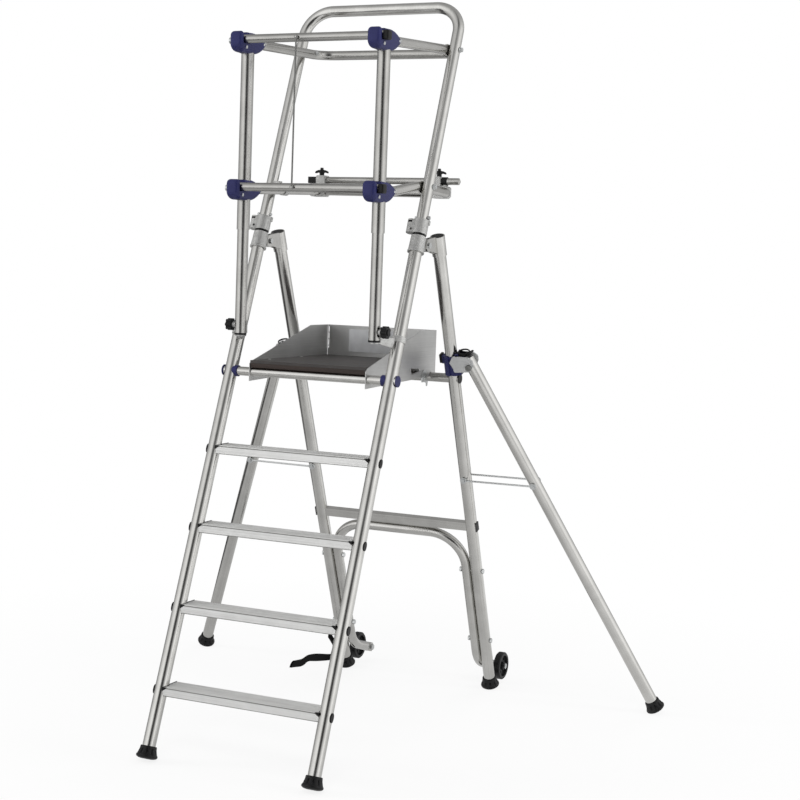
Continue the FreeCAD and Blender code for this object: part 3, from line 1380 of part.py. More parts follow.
leg_line = ((-leg_x, size.base_depth.number, 0), (-leg_x, size.base_depth.number - 100 * math.tan(rear_lean), 100))
lever_pin = lever_pin.cut(rod(*leg_line, 20.02))
lever_pin = max(lever_pin.Solids, key=lambda piece: piece.Volume)
lever_pin.Placement = REAR.inverse().multiply(GUARD)

# ---------------------------------------------------------------------------
# Stabilisers: a leg that swings out from a collar sliding on the rear leg, and a
# brace that ties it back to the rear leg lower down
# ---------------------------------------------------------------------------

pivot_x = size.stabiliser_pivot_x.number
pivot_reach = size.stabiliser_pivot_reach.number
splay = math.radians(size.stabiliser_angle.number)
foot_x = pivot_x + pivot_reach * math.tan(splay)
stay_radius = size.stabiliser_diameter.number / 2
stay_up = Vector(-math.sin(splay), 0, math.cos(splay))
stay_pivot = Vector(pivot_x, 0, pivot_reach)
stay_top = stay_pivot + stay_up * 24
stay_low = Vector(foot_x, 0, 0) + stay_up * size.tube_floor_gap.number
brace_reach = size.brace_reach.number
tie_reach = brace_reach + 2
tie = (pivot_x + (pivot_reach - tie_reach) * math.tan(splay), tie_reach)

stay = sleeve(stay_low, stay_top, stay_radius, stay_radius - 1.8)
stay = stay.fuse(rod(stay_top - stay_up * 3, stay_top + stay_up * 2, stay_radius - 0.5))
stay = stay.cut(
    rod((pivot_x, -30, pivot_reach), (pivot_x, 30, pivot_reach), bolt_radius + 1.05)
)

half_height = size.collar_height.number / 2
collar_mid = pivot_reach - 2
plate_outline = [
    (287, 1277), (299, 1256), (299, 1244), (356, 1249), (369, 1271), (369, 1289), (354, 1299.5),
    (300, 1300.5),
]
plates = []
for low, high in ((21.6, 25.6), (-25.6, -21.6)):
    plate = prism(plate_outline, "y", low, high)
    corners = [
        edge for edge in plate.Edges
        if abs(edge.Vertexes[0].Y - edge.Vertexes[-1].Y) > 1 and edge.Vertexes[0].Z not in (1256, 1277)
    ]
    plate = plate.makeFillet(7, corners)
    plates.append(
        plate.cut(rod((pivot_x, -30, pivot_reach), (pivot_x, 30, pivot_reach), bolt_radius + 1.05))
    )
pivot_bolt = rod((pivot_x, -30, pivot_reach), (pivot_x, 30, pivot_reach), bolt_radius + 1)
for side in (-1, 1):
    pivot_bolt = pivot_bolt.fuse(
        hex_bolt((pivot_x, side * 25.7, pivot_reach), (0, side, 0), 17, 6)
    )
runner = rod(
    (leg_x, 0, collar_mid - half_height), (leg_x, 0, collar_mid + half_height),
    size.collar_radius.number,
)
runner = runner.fuse([
    box(298, 322, -21.5, 21.5, collar_mid - half_height + 4, collar_mid + half_height - 2),
    box(254, 268, -9, 9, collar_mid + 4, collar_mid + half_height - 1),
])
for side in (-1, 1):
    low, high = sorted((side * 16.6, side * 20.3))
    runner = runner.fuse(
        box(306, 318, low, high, collar_mid + half_height - 3, collar_mid + half_height + 11)
    )
runner = runner.cut([
    rod((leg_x, 0, collar_mid - 50), (leg_x, 0, collar_mid + 50), 20.05),
    box(284, 340, 21.55, 30, collar_mid - 50, collar_mid + half_height),
    box(284, 340, -30, -21.55, collar_mid - 50, collar_mid + half_height),
])
lever_axis = (312, collar_mid + half_height + 6)
runner = runner.cut(rod((312, -25, lever_axis[1]), (312, 25, lever_axis[1]), 2.05))
runner = runner.removeSplitter()
latch_outline = [
    (309, 1298.5), (328, 1298.5), (341, 1300.5), (358, 1306), (362, 1311), (357, 1314.5),
    (338, 1307.5), (324, 1305), (309, 1305),
]
latch_lever = prism(latch_outline, "y", -16.2, 16.2)
latch_lever = latch_lever.fuse(
    rod((312, -16.2, lever_axis[1]), (312, 16.2, lever_axis[1]), 4.5)
).removeSplitter()
latch_lever = latch_lever.cut(rod((312, -25, lever_axis[1]), (312, 25, lever_axis[1]), 2.05))
lever_rod = rod((312, -20.3, lever_axis[1]), (312, 20.3, lever_axis[1]), 2)

brace = []
for side in (-1, 1):
    low, high = sorted((side * 22, side * 26))
    rail = rod((leg_x + 9, side * 24, brace_reach), (tie[0] - 9, side * 24, tie[1]), 3)
    for x, reach in ((leg_x, brace_reach), tie):
        rail = rail.fuse(rod((x, low, reach), (x, high, reach), 11))
    rail = rail.cut(rod((leg_x, -40, brace_reach), (leg_x, 40, brace_reach), bolt_radius + 0.05))
    rail = rail.fuse(hex_bolt((tie[0], side * 26, tie[1]), (0, side, 0), 13, 5))
    brace.append(rail.removeSplitter())

brace_bolt = rod((leg_x, -31, brace_reach), (leg_x, 31, brace_reach), bolt_radius)
for side in (-1, 1):
    brace_bolt = brace_bolt.fuse(
        hex_bolt((leg_x, side * 26.4, brace_reach), (0, side, 0), 13, 5)
    )

foot_world = REAR.multVec(Vector(foot_x, 0, 0))
stay_foot = rubber_foot(foot_world, REAR.Rotation.multVec(stay_up))

for side, suffix in ((1, "right"), (-1, "left")):
    def sided(shape):
        return shape if side > 0 else flip(shape)

    feature(f"stabiliser_tube_{suffix}", sided(stay), REAR)
    feature(f"stabiliser_plates_{suffix}", sided(solids([*plates, pivot_bolt])), REAR)
    feature(f"stabiliser_collar_{suffix}", sided(runner), REAR)
    feature(f"stabiliser_lever_{suffix}", sided(solids([latch_lever])), REAR)
    feature(f"stabiliser_brace_{suffix}", sided(solids(brace)), REAR)
    feature(f"stabiliser_foot_{suffix}", sided(stay_foot), Placement())

feature(
    "rear_frame_bolts",
    solids([both_sides(solids([*frame_fasteners, hinge_pin, brace_bolt])), lever_pin]),
    REAR,
)

# ---------------------------------------------------------------------------
# Check every object, then write each node
# ---------------------------------------------------------------------------

INNER = {"post_sleeve_right", "post_sleeve_left", "post_tube_right", "post_tube_left"}

doc.recompute()
for item in doc.Objects:
    if "Invalid" in item.State or "Error" in item.State:
        raise RuntimeError(f"{item.Label} did not recompute: {item.State}")

nodes = []
for item in doc.Objects:
    made = item.TypeId in ("PartDesign::Body", "Part::Feature", "Part::Compound", "Part::Mirroring")
    if made and item.Label not in INNER:
        if item.Shape.isNull() or not item.Shape.isValid() or not item.Shape.Solids:
            raise RuntimeError(f"{item.Label} has no valid solid")
        nodes.append(item)
if len(nodes) > 60:
    raise RuntimeError(f"{len(nodes)} nodes")

os.makedirs("parts", exist_ok=True)
for item in nodes:
    item.Shape.exportStep(os.path.join("parts", item.Label + ".step"))
print(len(nodes), "nodes written")
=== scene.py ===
import math

import bmesh
import bpy
from mathutils import Matrix, Vector


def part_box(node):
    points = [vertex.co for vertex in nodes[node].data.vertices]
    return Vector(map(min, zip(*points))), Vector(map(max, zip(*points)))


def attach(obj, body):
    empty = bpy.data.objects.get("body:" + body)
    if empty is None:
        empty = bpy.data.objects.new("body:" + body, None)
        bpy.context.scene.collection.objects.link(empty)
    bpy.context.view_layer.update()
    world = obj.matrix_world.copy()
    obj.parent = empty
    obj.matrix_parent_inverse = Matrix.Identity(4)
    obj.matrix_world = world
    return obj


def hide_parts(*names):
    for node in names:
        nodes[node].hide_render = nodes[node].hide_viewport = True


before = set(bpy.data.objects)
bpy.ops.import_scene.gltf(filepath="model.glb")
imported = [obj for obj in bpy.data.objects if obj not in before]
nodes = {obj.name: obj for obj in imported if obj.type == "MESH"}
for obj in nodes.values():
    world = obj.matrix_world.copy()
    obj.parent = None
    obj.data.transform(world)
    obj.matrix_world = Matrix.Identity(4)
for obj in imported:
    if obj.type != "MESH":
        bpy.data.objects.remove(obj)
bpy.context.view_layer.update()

# Camera.  It stands low in front of the ladder and to the user's right, level with the
# standing platform, on a long lens that keeps the stiles nearly parallel.
camera_data = bpy.data.cameras.new("camera")
camera_data.lens = 73.0
camera_data.sensor_width = 36.0
camera_data.clip_end = 60.0
camera = bpy.data.objects.new("camera", camera_data)
bpy.context.scene.collection.objects.link(camera)
# where it stands in metres, and how far it turns, tilts and rolls in radians
camera_place = (2.3266, -4.6925, 1.4878)
heading, tilt, roll = 0.4298, -0.0827, 0.0356
ahead = Vector((
    -math.sin(heading) * math.cos(tilt), math.cos(heading) * math.cos(tilt), math.sin(tilt),
))
rightward = Vector((math.cos(heading), math.sin(heading), 0.0))
upward = rightward.cross(ahead)
across = rightward * math.cos(roll) + upward * math.sin(roll)
above = upward * math.cos(roll) - rightward * math.sin(roll)
facing = Matrix((across, above, -ahead)).transposed().to_4x4()
camera.matrix_world = Matrix.Translation(camera_place) @ facing
bpy.context.scene.camera = camera

# Studio.  A pale paper sweep on the floor, a pale room, and four soft lamps: long ones on
# the left and the right, a broad one in front and a weak one behind, so that round tubes
# show bands.
bpy.context.scene.view_settings.view_transform = "Standard"


def linear(hex_colour):
    """A linear colour with alpha from an sRGB hex string such as #8a8a8a."""
    channels = [int(hex_colour[place:place + 2], 16) / 255 for place in (1, 3, 5)]
    curve = [c / 12.92 if c <= 0.04045 else ((c + 0.055) / 1.055) ** 2.4 for c in channels]
    return (*curve, 1.0)


def add_node(tree, kind, links=None, **settings):
    """Adds a node, sets its properties and sockets, and links other sockets into it."""
    node = tree.nodes.new(kind)
    for key, value in settings.items():
        if hasattr(node, key):
            setattr(node, key, value)
        else:
            node.inputs[key.replace("_", " ")].default_value = value
    for socket, source in (links or {}).items():
        tree.links.new(source, node.inputs[socket])
    return node


def new_material(name):
    """An empty material with its node tree and its Principled shader."""
    made = bpy.data.materials.new(name)
    made.use_nodes = True
    return made, made.node_tree, made.node_tree.nodes["Principled BSDF"]


def ramp(tree, source, stops):
    """A colour ramp over source; stops are pairs of place and linear colour."""
    made = add_node(tree, "ShaderNodeValToRGB", {"Fac": source})
    while len(made.color_ramp.elements) < len(stops):
        made.color_ramp.elements.new(0.5)
    for element, (place, colour) in zip(made.color_ramp.elements, stops):
        element.position = place
        element.color = colour
    return made.outputs["Color"]


def hex_ramp(tree, source, *stops):
    """A colour ramp over source; stops are pairs of place and hex colour."""
    return ramp(tree, source, [(place, linear(colour)) for place, colour in stops])


def value_range(tree, source, low, high, start=0.0, end=1.0):
    """Stretches the values from start to end to the range low to high."""
    return add_node(
        tree, "ShaderNodeMapRange", {"Value": source},
        From_Min=start, From_Max=end, To_Min=low, To_Max=high,
    ).outputs["Result"]


def calculate(tree, operation, first, second):
    """The result of an operation on two values."""
    return add_node(tree, "ShaderNodeMath", {0: first, 1: second}, operation=operation).outputs[0]


def mix_shaders(tree, amount, first, second):
    """Mixes the outputs of two shader nodes by amount."""
    links = {0: amount, 1: first.outputs[0], 2: second.outputs[0]}
    return add_node(tree, "ShaderNodeMixShader", links)


def ray_kinds(tree):
    """Whether a ray comes straight from the camera, and whether it is mirrored or refracted."""
    path = add_node(tree, "ShaderNodeLightPath").outputs
    bent = calculate(tree, "MAXIMUM", path["Is Glossy Ray"], path["Is Transmission Ray"])
    return path["Is Camera Ray"], bent


white = (1, 1, 1, 1)
paper, tree, shader = new_material("matte_paper_sweep")
grain = add_node(tree, "ShaderNodeTexNoise", Scale=3.0, Detail=2.0).outputs["Fac"]
shade = hex_ramp(tree, grain, (0.3, "#f4f4f4"), (0.7, "#f7f7f7"))
tree.links.new(shade, shader.inputs["Base Color"])
shader.inputs["Roughness"].default_value = 0.9
shader.inputs["Specular IOR Level"].default_value = 0.1
looked_at, mirrored = ray_kinds(tree)
place = add_node(tree, "ShaderNodeTexCoord").outputs["Object"]
away = add_node(tree, "ShaderNodeVectorMath", {0: place}, operation="LENGTH").outputs["Value"]
side = add_node(tree, "ShaderNodeSeparateXYZ", {"Vector": place}).outputs["X"]
# plain white where it is looked at, apart from a soft shadow near the ladder
plain = value_range(tree, away, 0.86, 1.0, start=0.9, end=2.4)
glow = add_node(tree, "ShaderNodeEmission", Color=white, Strength=1.0)
lit = mix_shaders(tree, calculate(tree, "MULTIPLY", looked_at, plain), shader, glow)
# the floor is a grey glow seen only in reflections, a painted reflection: darkest under
# the ladder as painted shade, and brighter to the right; far to the left it falls off,
# which paints a dark line on the edges of the leaning legs
reflected_glow = value_range(tree, away, 0.46, 0.66, start=0.4, end=2.2)
to_right = value_range(tree, side, 0.0, 0.28, start=-0.8, end=1.2)
from_left = value_range(tree, side, 0.1, 1.0, start=-2.3, end=-1.45)
reflected_glow = calculate(tree, "MULTIPLY", calculate(tree, "ADD", reflected_glow, to_right), from_left)
grey = add_node(tree, "ShaderNodeEmission", {"Strength": reflected_glow}, Color=white)
shown = mix_shaders(tree, mirrored, lit, grey)
tree.links.new(shown.outputs[0], tree.nodes["Material Output"].inputs["Surface"])
half = 5.0
sweep_mesh = bpy.data.meshes.new("floor")
sweep_mesh.from_pydata(
    [(-half, -half, 0), (half, -half, 0), (half, half, 0), (-half, half, 0)], [],
    [(0, 1, 2, 3)],
)
sweep_mesh.materials.append(paper)
floor = bpy.data.objects.new("floor", sweep_mesh)
bpy.context.scene.collection.objects.link(floor)

world = bpy.data.worlds.new("pale_room")
bpy.context.scene.world = world
world.use_nodes = True
tree = world.node_tree
tree.nodes.clear()
# polished metal mirrors bright walls to both sides, with a dark gap between them in
# front, and a darker room behind and overhead
towards_front = (0.417, -0.909, 0.0)
towards_right = (0.909, 0.417, 0.0)
direction = add_node(tree, "ShaderNodeTexCoord").outputs["Generated"]
parts = []
for axis in (towards_right, towards_front):
    part = add_node(tree, "ShaderNodeVectorMath", {0: direction}, operation="DOT_PRODUCT")
    part.inputs[1].default_value = axis
    parts.append(part.outputs["Value"])
angle = calculate(tree, "ARCTAN2", *parts)
bearing = value_range(tree, angle, 0.0, 1.0, start=-math.pi, end=math.pi)
height = add_node(tree, "ShaderNodeSeparateXYZ", {"Vector": direction}).outputs["Z"]


def round_the_room(*stops):
    """A grey ramp round the room; stops are pairs of degrees, left to right, and brightness."""
    return ramp(tree, bearing, [
        ((degrees + 180) / 360, (bright, bright, bright, 1)) for degrees, bright in stops
    ])


def blend(amount, first, second):
    """Mixes two of the room's colours by amount."""
    links = {0: amount, 6: first, 7: second}
    return add_node(tree, "ShaderNodeMix", links, data_type="RGBA").outputs[2]


walls = round_the_room(
    (-180, 0.28), (-147, 0.30), (-106, 0.62), (-80, 0.98), (-57, 1.22), (-30, 1.18), (42, 1.0),
    (57, 1.3), (80, 1.2), (106, 0.85), (147, 0.5), (180, 0.28),
)
gap = round_the_room(
    (-180, 0), (-28, 0), (-18, 0.7), (-11, 1), (15, 1), (22, 0.75), (36, 0.2), (44, 0), (180, 0),
)
overhead = hex_ramp(tree, height, (0.4, "#000000"), (0.95, "#ffffff"))
ceiling = add_node(tree, "ShaderNodeRGB").outputs[0]
ceiling.default_value = (0.44, 0.44, 0.44, 1)
lamp_row = hex_ramp(
    tree, height, (0.0, "#3c3c3c"), (0.45, "#444444"), (0.62, "#b0b0b0"), (0.72, "#b0b0b0"),
    (0.8, "#555555"), (1.0, "#a0a0a0"),
)
backdrop = blend(gap, blend(overhead, walls, ceiling), lamp_row)
room = add_node(tree, "ShaderNodeBackground", Color=linear("#c4c4c4"), Strength=0.95)
reflected = add_node(tree, "ShaderNodeBackground", {"Color": backdrop}, Strength=1.0)
plain = add_node(tree, "ShaderNodeBackground", Color=white, Strength=1.0)
looked_at, mirrored = ray_kinds(tree)
shown = mix_shaders(tree, looked_at, mix_shaders(tree, mirrored, room, reflected), plain)
add_node(tree, "ShaderNodeOutputWorld", {"Surface": shown.outputs[0]})

# each lamp: its place, what it aims at, its width and height in metres, its watts
for name, where, aim, wide, tall, watts in (
    ("lamp_left", (-4.6, -1.6, 3.0), (0, 0, 1.1), 1.0, 3.4, 90),
    ("lamp_front", (1.2, -4.4, 5.4), (0, 0, 1.0), 2.6, 1.6, 90),
    ("lamp_right", (4.4, 0.6, 2.6), (0, 0, 1.1), 0.9, 3.0, 60),
    ("lamp_back", (0.5, 4.6, 3.6), (0, 0, 1.2), 3.0, 1.4, 40),
):
    lamp_data = bpy.data.lights.new(name, "AREA")
    lamp_data.shape = "RECTANGLE"
    lamp_data.size = wide
    lamp_data.size_y = tall
    lamp_data.energy = watts
    lamp = bpy.data.objects.new(name, lamp_data)
    bpy.context.scene.collection.objects.link(lamp)
    lamp.location = where
    lamp.visible_glossy = False
    lamp.rotation_euler = (Vector(aim) - Vector(where)).to_track_quat("-Z", "Y").to_euler()

# Stiles, legs and stabiliser tubes.  Round tube of drawn aluminium, left bare: a bright
# satin skin with faint lines along the tube from the die, and handling marks.
mm = 0.001


def multiply(tree, colour, over, amount):
    """Multiplies one colour by another, by the given amount."""
    links = {6: colour, 7: over}
    mix = add_node(tree, "ShaderNodeMix", links, data_type="RGBA", blend_type="MULTIPLY")
    mix.inputs[0].default_value = amount
    return mix.outputs[2]


def object_place(tree, scale=(1.0, 1.0, 1.0), turn=(0.0, 0.0, 0.0)):
    """The place on the object in metres, turned and then stretched."""
    where = add_node(tree, "ShaderNodeTexCoord").outputs["Object"]
    turned = add_node(tree, "ShaderNodeMapping", {"Vector": where}, Rotation=turn).outputs[0]
    return add_node(tree, "ShaderNodeMapping", {"Vector": turned}, Scale=scale).outputs[0]


def noise(tree, scale, detail, where=None, roughness=0.5):
    """A noise from 0 to 1, with scale features to a metre where no other place is given."""
    return add_node(
        tree, "ShaderNodeTexNoise", {"Vector": where or object_place(tree)},
        Scale=scale, Detail=detail, Roughness=roughness,
    ).outputs["Fac"]


def lay_skin(tree, shader, colour, wear, rough):
    """Gives a shader its colour, and a roughness that follows wear within a range."""
    tree.links.new(colour, shader.inputs["Base Color"])
    tree.links.new(value_range(tree, wear, *rough), shader.inputs["Roughness"])


def emboss(tree, shader, relief, strength, depth=0.4):
    """Raises a relief in the skin; its depth is in mm."""
    bump = add_node(
        tree, "ShaderNodeBump", {"Height": relief}, Strength=strength, Distance=depth * mm
    )
    tree.links.new(bump.outputs["Normal"], shader.inputs["Normal"])


def paint(material, *names):
    """Gives a CAD node, or several, one material all over."""
    for name in names:
        piece = nodes[name]
        if not piece.data.materials:
            piece.data.materials.append(material)
        for number in range(len(piece.data.materials)):
            piece.data.materials[number] = material


def drawn_aluminium(name, along, dark="#cac9c6", light="#dad9d6", rough=(0.14, 0.22)):
    """Bare drawn tube whose die lines run along the given direction."""
    made, tree, shader = new_material(name)
    turn = Vector(along).normalized().rotation_difference(Vector((0, 0, 1))).to_euler()
    # die lines about 1.2 mm apart round the tube and 400 mm long
    line = noise(tree, 1.0, 3.0, object_place(tree, (820.0, 820.0, 2.5), turn))
    # cloudy handling marks about 60 mm across
    cloud = noise(tree, 16.0, 5.0, roughness=0.6)
    skin = hex_ramp(tree, cloud, (0.3, dark), (0.7, light))
    lined = hex_ramp(tree, line, (0.35, "#d2d2d0"), (0.65, "#ffffff"))
    lay_skin(tree, shader, multiply(tree, skin, lined, 0.35), cloud, rough)
    emboss(tree, shader, line, 0.05)
    shader.inputs["Metallic"].default_value = 1.0
    return made


lean_front = math.radians(20.8)
lean_rear = math.radians(21.5)
splay = math.radians(23.4)
up_stile = (0.0, math.sin(lean_front), math.cos(lean_front))
up_leg = (0.0, -math.sin(lean_rear), math.cos(lean_rear))
sides = ((-1, "left"), (1, "right"))


def up_stabiliser(side):
    """Up along a stabiliser: side is 1 for the right one and -1 for the left one."""
    return Vector((-side * math.sin(splay), 0, 0)) + Vector(up_leg) * math.cos(splay)


stile_tube = drawn_aluminium("drawn_aluminium_stile", up_stile)
paint(stile_tube, "stile_left", "stile_right", "handrail_hoop")
leg_tube = drawn_aluminium("drawn_aluminium_leg", up_leg)
paint(leg_tube, "rear_leg_left", "rear_leg_right", "wheel_frame", "rear_sockets")
for side, label in reversed(sides):
    tube = drawn_aluminium(f"drawn_aluminium_stabiliser_{label}", up_stabiliser(side))
    paint(tube, f"stabiliser_tube_{label}")
# the posts are the same drawn tube painted darker, a painted shade, and a little rougher
shaded_post_tube = drawn_aluminium("drawn_aluminium_post_painted_shade", (0, 0, 1), "#b6b5b2", "#c6c5c2", (0.2, 0.28))
paint(shaded_post_tube, "guard_posts")
cross_tube = drawn_aluminium("drawn_aluminium_crosswise", (1, 0, 0))
paint(cross_tube, "platform_front_tube", "rear_crossbar")
# the rear rails, gate bars, accessory bar and rear platform tube are the same tube painted darker,
# a painted shade, and a little rougher
shaded_bar_tube = drawn_aluminium(
    "drawn_aluminium_guardrail_painted_shade", (1, 0, 0), "#b0afac", "#c0bfbc", (0.18, 0.26)
)
paint(
    shaded_bar_tube, "rear_platform_tube", "accessory_bar", "gate_top_bar", "gate_mid_bar",
    "guard_rails_rear",
)
# the side rails are the same tube painted a little darker, a painted shade
shaded_rail_tube = drawn_aluminium("drawn_aluminium_rail_painted_shade", (0, 1, 0), "#c2c1be", "#d2d1ce")
paint(shaded_rail_tube, "guard_rails_right")

# Treads.  Extruded aluminium channels with a ribbed top, cut to length and left as they
# came off the press: duller than the tubes, with die lines along the tread.
tread_skin, tree, shader = new_material("extruded_aluminium_tread")
line = noise(tree, 1.0, 3.0, object_place(tree, (3.0, 700.0, 700.0)))
cloud = noise(tree, 22.0, 5.0)
skin = hex_ramp(tree, cloud, (0.3, "#ebebea"), (0.7, "#f4f4f3"))
lined = hex_ramp(tree, line, (0.35, "#c8c8c6"), (0.65, "#ffffff"))
# painted shade: two dark bands in the fine grooves under the nose and along the lower
# edge; treads repeat every 234 mm, and places below are heights in mm within that step
tread_step, groove_painted_shade, unshaded = 234.0, "#8a8a88", "#ffffff"
height = add_node(tree, "ShaderNodeSeparateXYZ", {"Vector": object_place(tree)}).outputs["Z"]
steps = add_node(tree, "ShaderNodeMath", {0: height}, operation="MULTIPLY")
steps.inputs[1].default_value = 1000.0 / tread_step
within = add_node(tree, "ShaderNodeMath", {0: steps.outputs[0]}, operation="FRACT")
grooves = hex_ramp(tree, within.outputs[0], *(
    (place / tread_step, colour) for place, colour in (
        (185.5, groove_painted_shade), (187.6, groove_painted_shade), (188.4, unshaded), (208.2, unshaded),
        (209.0, groove_painted_shade), (211.2, groove_painted_shade), (211.7, unshaded),
    )
))
worn_and_shaded = multiply(tree, multiply(tree, skin, lined, 0.4), grooves, 1.0)
lay_skin(tree, shader, worn_and_shaded, cloud, (0.3, 0.42))
emboss(tree, shader, line, 0.15)
shader.inputs["Metallic"].default_value = 0.5


def copy_form(node):
    """A form to work on that starts as a CAD node's mesh."""
    form = bmesh.new()
    form.from_mesh(nodes[node].data)
    return form


def make_piece(name, form, material, body, sharp=35):
    """Turns mesh work into a piece of one material that rides on a body."""
    # known fault: the faces of a copied CAD mesh are loose, each with points of its own,
    # and this turns some of them inwards.  Joining the copy's points first would cure it
    bmesh.ops.recalc_face_normals(form, faces=form.faces)
    mesh = bpy.data.meshes.new(name)
    form.to_mesh(mesh)
    form.free()
    for face in mesh.polygons:
        face.use_smooth = True
    mesh.set_sharp_from_angle(angle=math.radians(sharp))
    mesh.materials.clear()
    mesh.materials.append(material)
    piece = bpy.data.objects.new(name, mesh)
    bpy.context.scene.collection.objects.link(piece)
    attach(piece, body)
    return piece


stile_low, stile_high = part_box("stile_right")
stile_x = (stile_low.x + stile_high.x) / 2
stile_radius = (stile_high.x - stile_low.x) / 2
foot_radius = 33 * mm
front_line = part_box("front_feet")[0].y + foot_radius
# what lies further out than this on a tread is its sawn end
sawn_end = 247 * mm
# the saw's gap to the stile, and how near a tread may come to the stile's axis
saw_gap, nearest = 0.3 * mm, 14 * mm


def reach_to_stile(y, z):
    """How far out a tread reaches at this place, with its end hollowed to the round stile."""
    off = (y - front_line) * math.cos(lean_front) - z * math.sin(lean_front)
    hollow = math.sqrt(max(0.0, stile_radius ** 2 - off ** 2))
    return min(stile_x - hollow - saw_gap, stile_x - nearest)


treads = [f"tread_{number}" for number in range(1, 5)]
for node in treads:
    form = copy_form(node)
    for vert in form.verts:
        if abs(vert.co.x) > sawn_end:
            vert.co.x = math.copysign(reach_to_stile(vert.co.y, vert.co.z), vert.co.x)
    coped = make_piece(f"{node}_coped", form, tread_skin, "ladder")
    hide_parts(node)

# Sockets and clamps.  Die-cast aluminium, tumbled: grey, slightly grainy, with a soft
# sheen and darker specks in its grain.
cast_skin, tree, shader = new_material("tumbled_cast_aluminium")
# grain about 1.5 mm across, drawn coarser than the real 0.5 mm so that it shows
grit = noise(tree, 650.0, 3.0)
cloud = noise(tree, 40.0, 4.0)
skin = hex_ramp(tree, cloud, (0.3, "#cacac8"), (0.7, "#dcdcda"))
speck = hex_ramp(tree, grit, (0.38, "#8a8a8a"), (0.55, "#ffffff"))
lay_skin(tree, shader, multiply(tree, skin, speck, 0.6), grit, (0.38, 0.6))
emboss(tree, shader, grit, 0.3, depth=0.6)
shader.inputs["Metallic"].default_value = 0.75
paint(cast_skin, "stile_castings", "rail_clamps")

# Toe boards.  Folded sheet aluminium 2 mm thick, rolled finish: brighter and flatter
# than the tubes, with faint rolling lines front to back.
sheet_skin, tree, shader = new_material("rolled_sheet_aluminium")
line = noise(tree, 1.0, 3.0, object_place(tree, (500.0, 4.0, 500.0)))
cloud = noise(tree, 9.0, 4.0)
skin = hex_ramp(tree, cloud, (0.3, "#c5c5c4"), (0.7, "#d3d3d2"))
lined = hex_ramp(tree, line, (0.35, "#dcdcdc"), (0.65, "#ffffff"))
lay_skin(tree, shader, multiply(tree, skin, lined, 0.35), cloud, (0.38, 0.5))
shader.inputs["Metallic"].default_value = 0.9
paint(sheet_skin, "toe_board_left", "toe_board_right", "toe_board_rear")

# Bolts, pins and braces.  Zinc-plated steel, bright passivated: a cool grey shine with a
# fine uneven bloom.
zinc, tree, shader = new_material("zinc_plated_steel")
bloom = noise(tree, 300.0, 4.0)
skin = hex_ramp(tree, bloom, (0.3, "#c8caca"), (0.7, "#e4e6e6"))
lay_skin(tree, shader, skin, bloom, (0.25, 0.45))
shader.inputs["Metallic"].default_value = 1.0
paint(
    zinc, "guard_fasteners", "rear_frame_bolts", "platform_latch",
    "stabiliser_brace_left", "stabiliser_brace_right",
)

# Gate link.  Hard-drawn steel wire, oiled and left bare: a dull darker grey, with drawn
# lines along it.  Its two eyes are bent cold round the pins of the gate bars.
wire, tree, shader = new_material("hard_drawn_steel_wire")
line = noise(tree, 1.0, 3.0, object_place(tree, (900.0, 900.0, 6.0)))
skin = hex_ramp(tree, line, (0.3, "#787876"), (0.7, "#969694"))
lay_skin(tree, shader, skin, line, (0.34, 0.46))
shader.inputs["Metallic"].default_value = 1.0
paint(wire, "gate_link")


# Foot lever.  Flat steel bar, bent cold and powder coated satin black, with the orange
# peel that powder leaves.
def powder_coat(name, dark, light, rough, peel_strength, specular=0.5):
    """Powder coat with orange peel about 2.4 mm across."""
    made, tree, shader = new_material(name)
    peel = noise(tree, 420.0, 2.0)
    skin = hex_ramp(tree, peel, (0.3, dark), (0.7, light))
    lay_skin(tree, shader, skin, peel, rough)
    emboss(tree, shader, peel, peel_strength)
    shader.inputs["Specular IOR Level"].default_value = specular
    return made


black_powder = powder_coat("black_powder_coat", "#060607", "#0c0c0d", (0.36, 0.5), 0.25, 0.04)
paint(black_powder, "foot_lever")

# Stabiliser plates.  Pressed steel cheeks, powder coated light grey, that hang from each
# collar and hold the stabiliser's pivot bolt between them.
grey_powder = powder_coat("light_grey_powder_coat", "#b2b3b3", "#c0c1c1", (0.4, 0.52), 0.2)
paint(grey_powder, "stabiliser_plates_left", "stabiliser_plates_right")


# Bushes, collars, plugs and knobs.  Injection-moulded nylon with a fine spark-eroded
# grain, which breaks the shine into a soft sheen.
def moulded_nylon(name, dark, light):
    """Moulded nylon between two close colours."""
    made, tree, shader = new_material(name)
    # mould grain about 1 mm across, drawn coarser than the real 0.3 mm so that it shows
    grain = noise(tree, 900.0, 2.0)
    cloud = noise(tree, 30.0, 3.0)
    skin = hex_ramp(tree, cloud, (0.3, dark), (0.7, light))
    lay_skin(tree, shader, skin, cloud, (0.36, 0.46))
    emboss(tree, shader, grain, 0.22, depth=0.3)
    shader.inputs["Specular IOR Level"].default_value = 0.28
    return made


navy_nylon = moulded_nylon("navy_moulded_nylon", "#242654", "#2b2d5d")
black_nylon = moulded_nylon("black_moulded_nylon", "#0b0b0c", "#121213")
paint(navy_nylon, "stabiliser_collar_left", "stabiliser_collar_right")
paint(
    black_nylon, "post_knob_left", "post_knob_right", "clamp_knob_left", "clamp_knob_right",
    "accessory_bar_plugs", "rear_bar_plugs",
)

# Tread corners and tube rings.  Black nylon: under each tread end an insert is pushed in,
# and only its tongue at the front corner and its thin seal against the stile show.
form = copy_form("tread_ends_and_tube_caps")
# the inserts end 10 mm short of the stile's axis, and the tube rings sit more than 1 m up
insert_end, above_treads = stile_x - 10 * mm, 1.0
inserts = [
    vert for vert in form.verts if abs(vert.co.x) < insert_end and vert.co.z < above_treads
]
bmesh.ops.delete(form, geom=inserts, context="VERTS")


def join_rings(form, rings, ends=True):
    """Skins a row of rings of points, and closes its two ends unless told not to."""
    for lower, upper in zip(rings, rings[1:]):
        for number in range(len(lower)):
            after = (number + 1) % len(lower)
            form.faces.new((lower[number], lower[after], upper[after], upper[number]))
    if ends:
        form.faces.new(rings[0])
        form.faces.new(rings[-1])


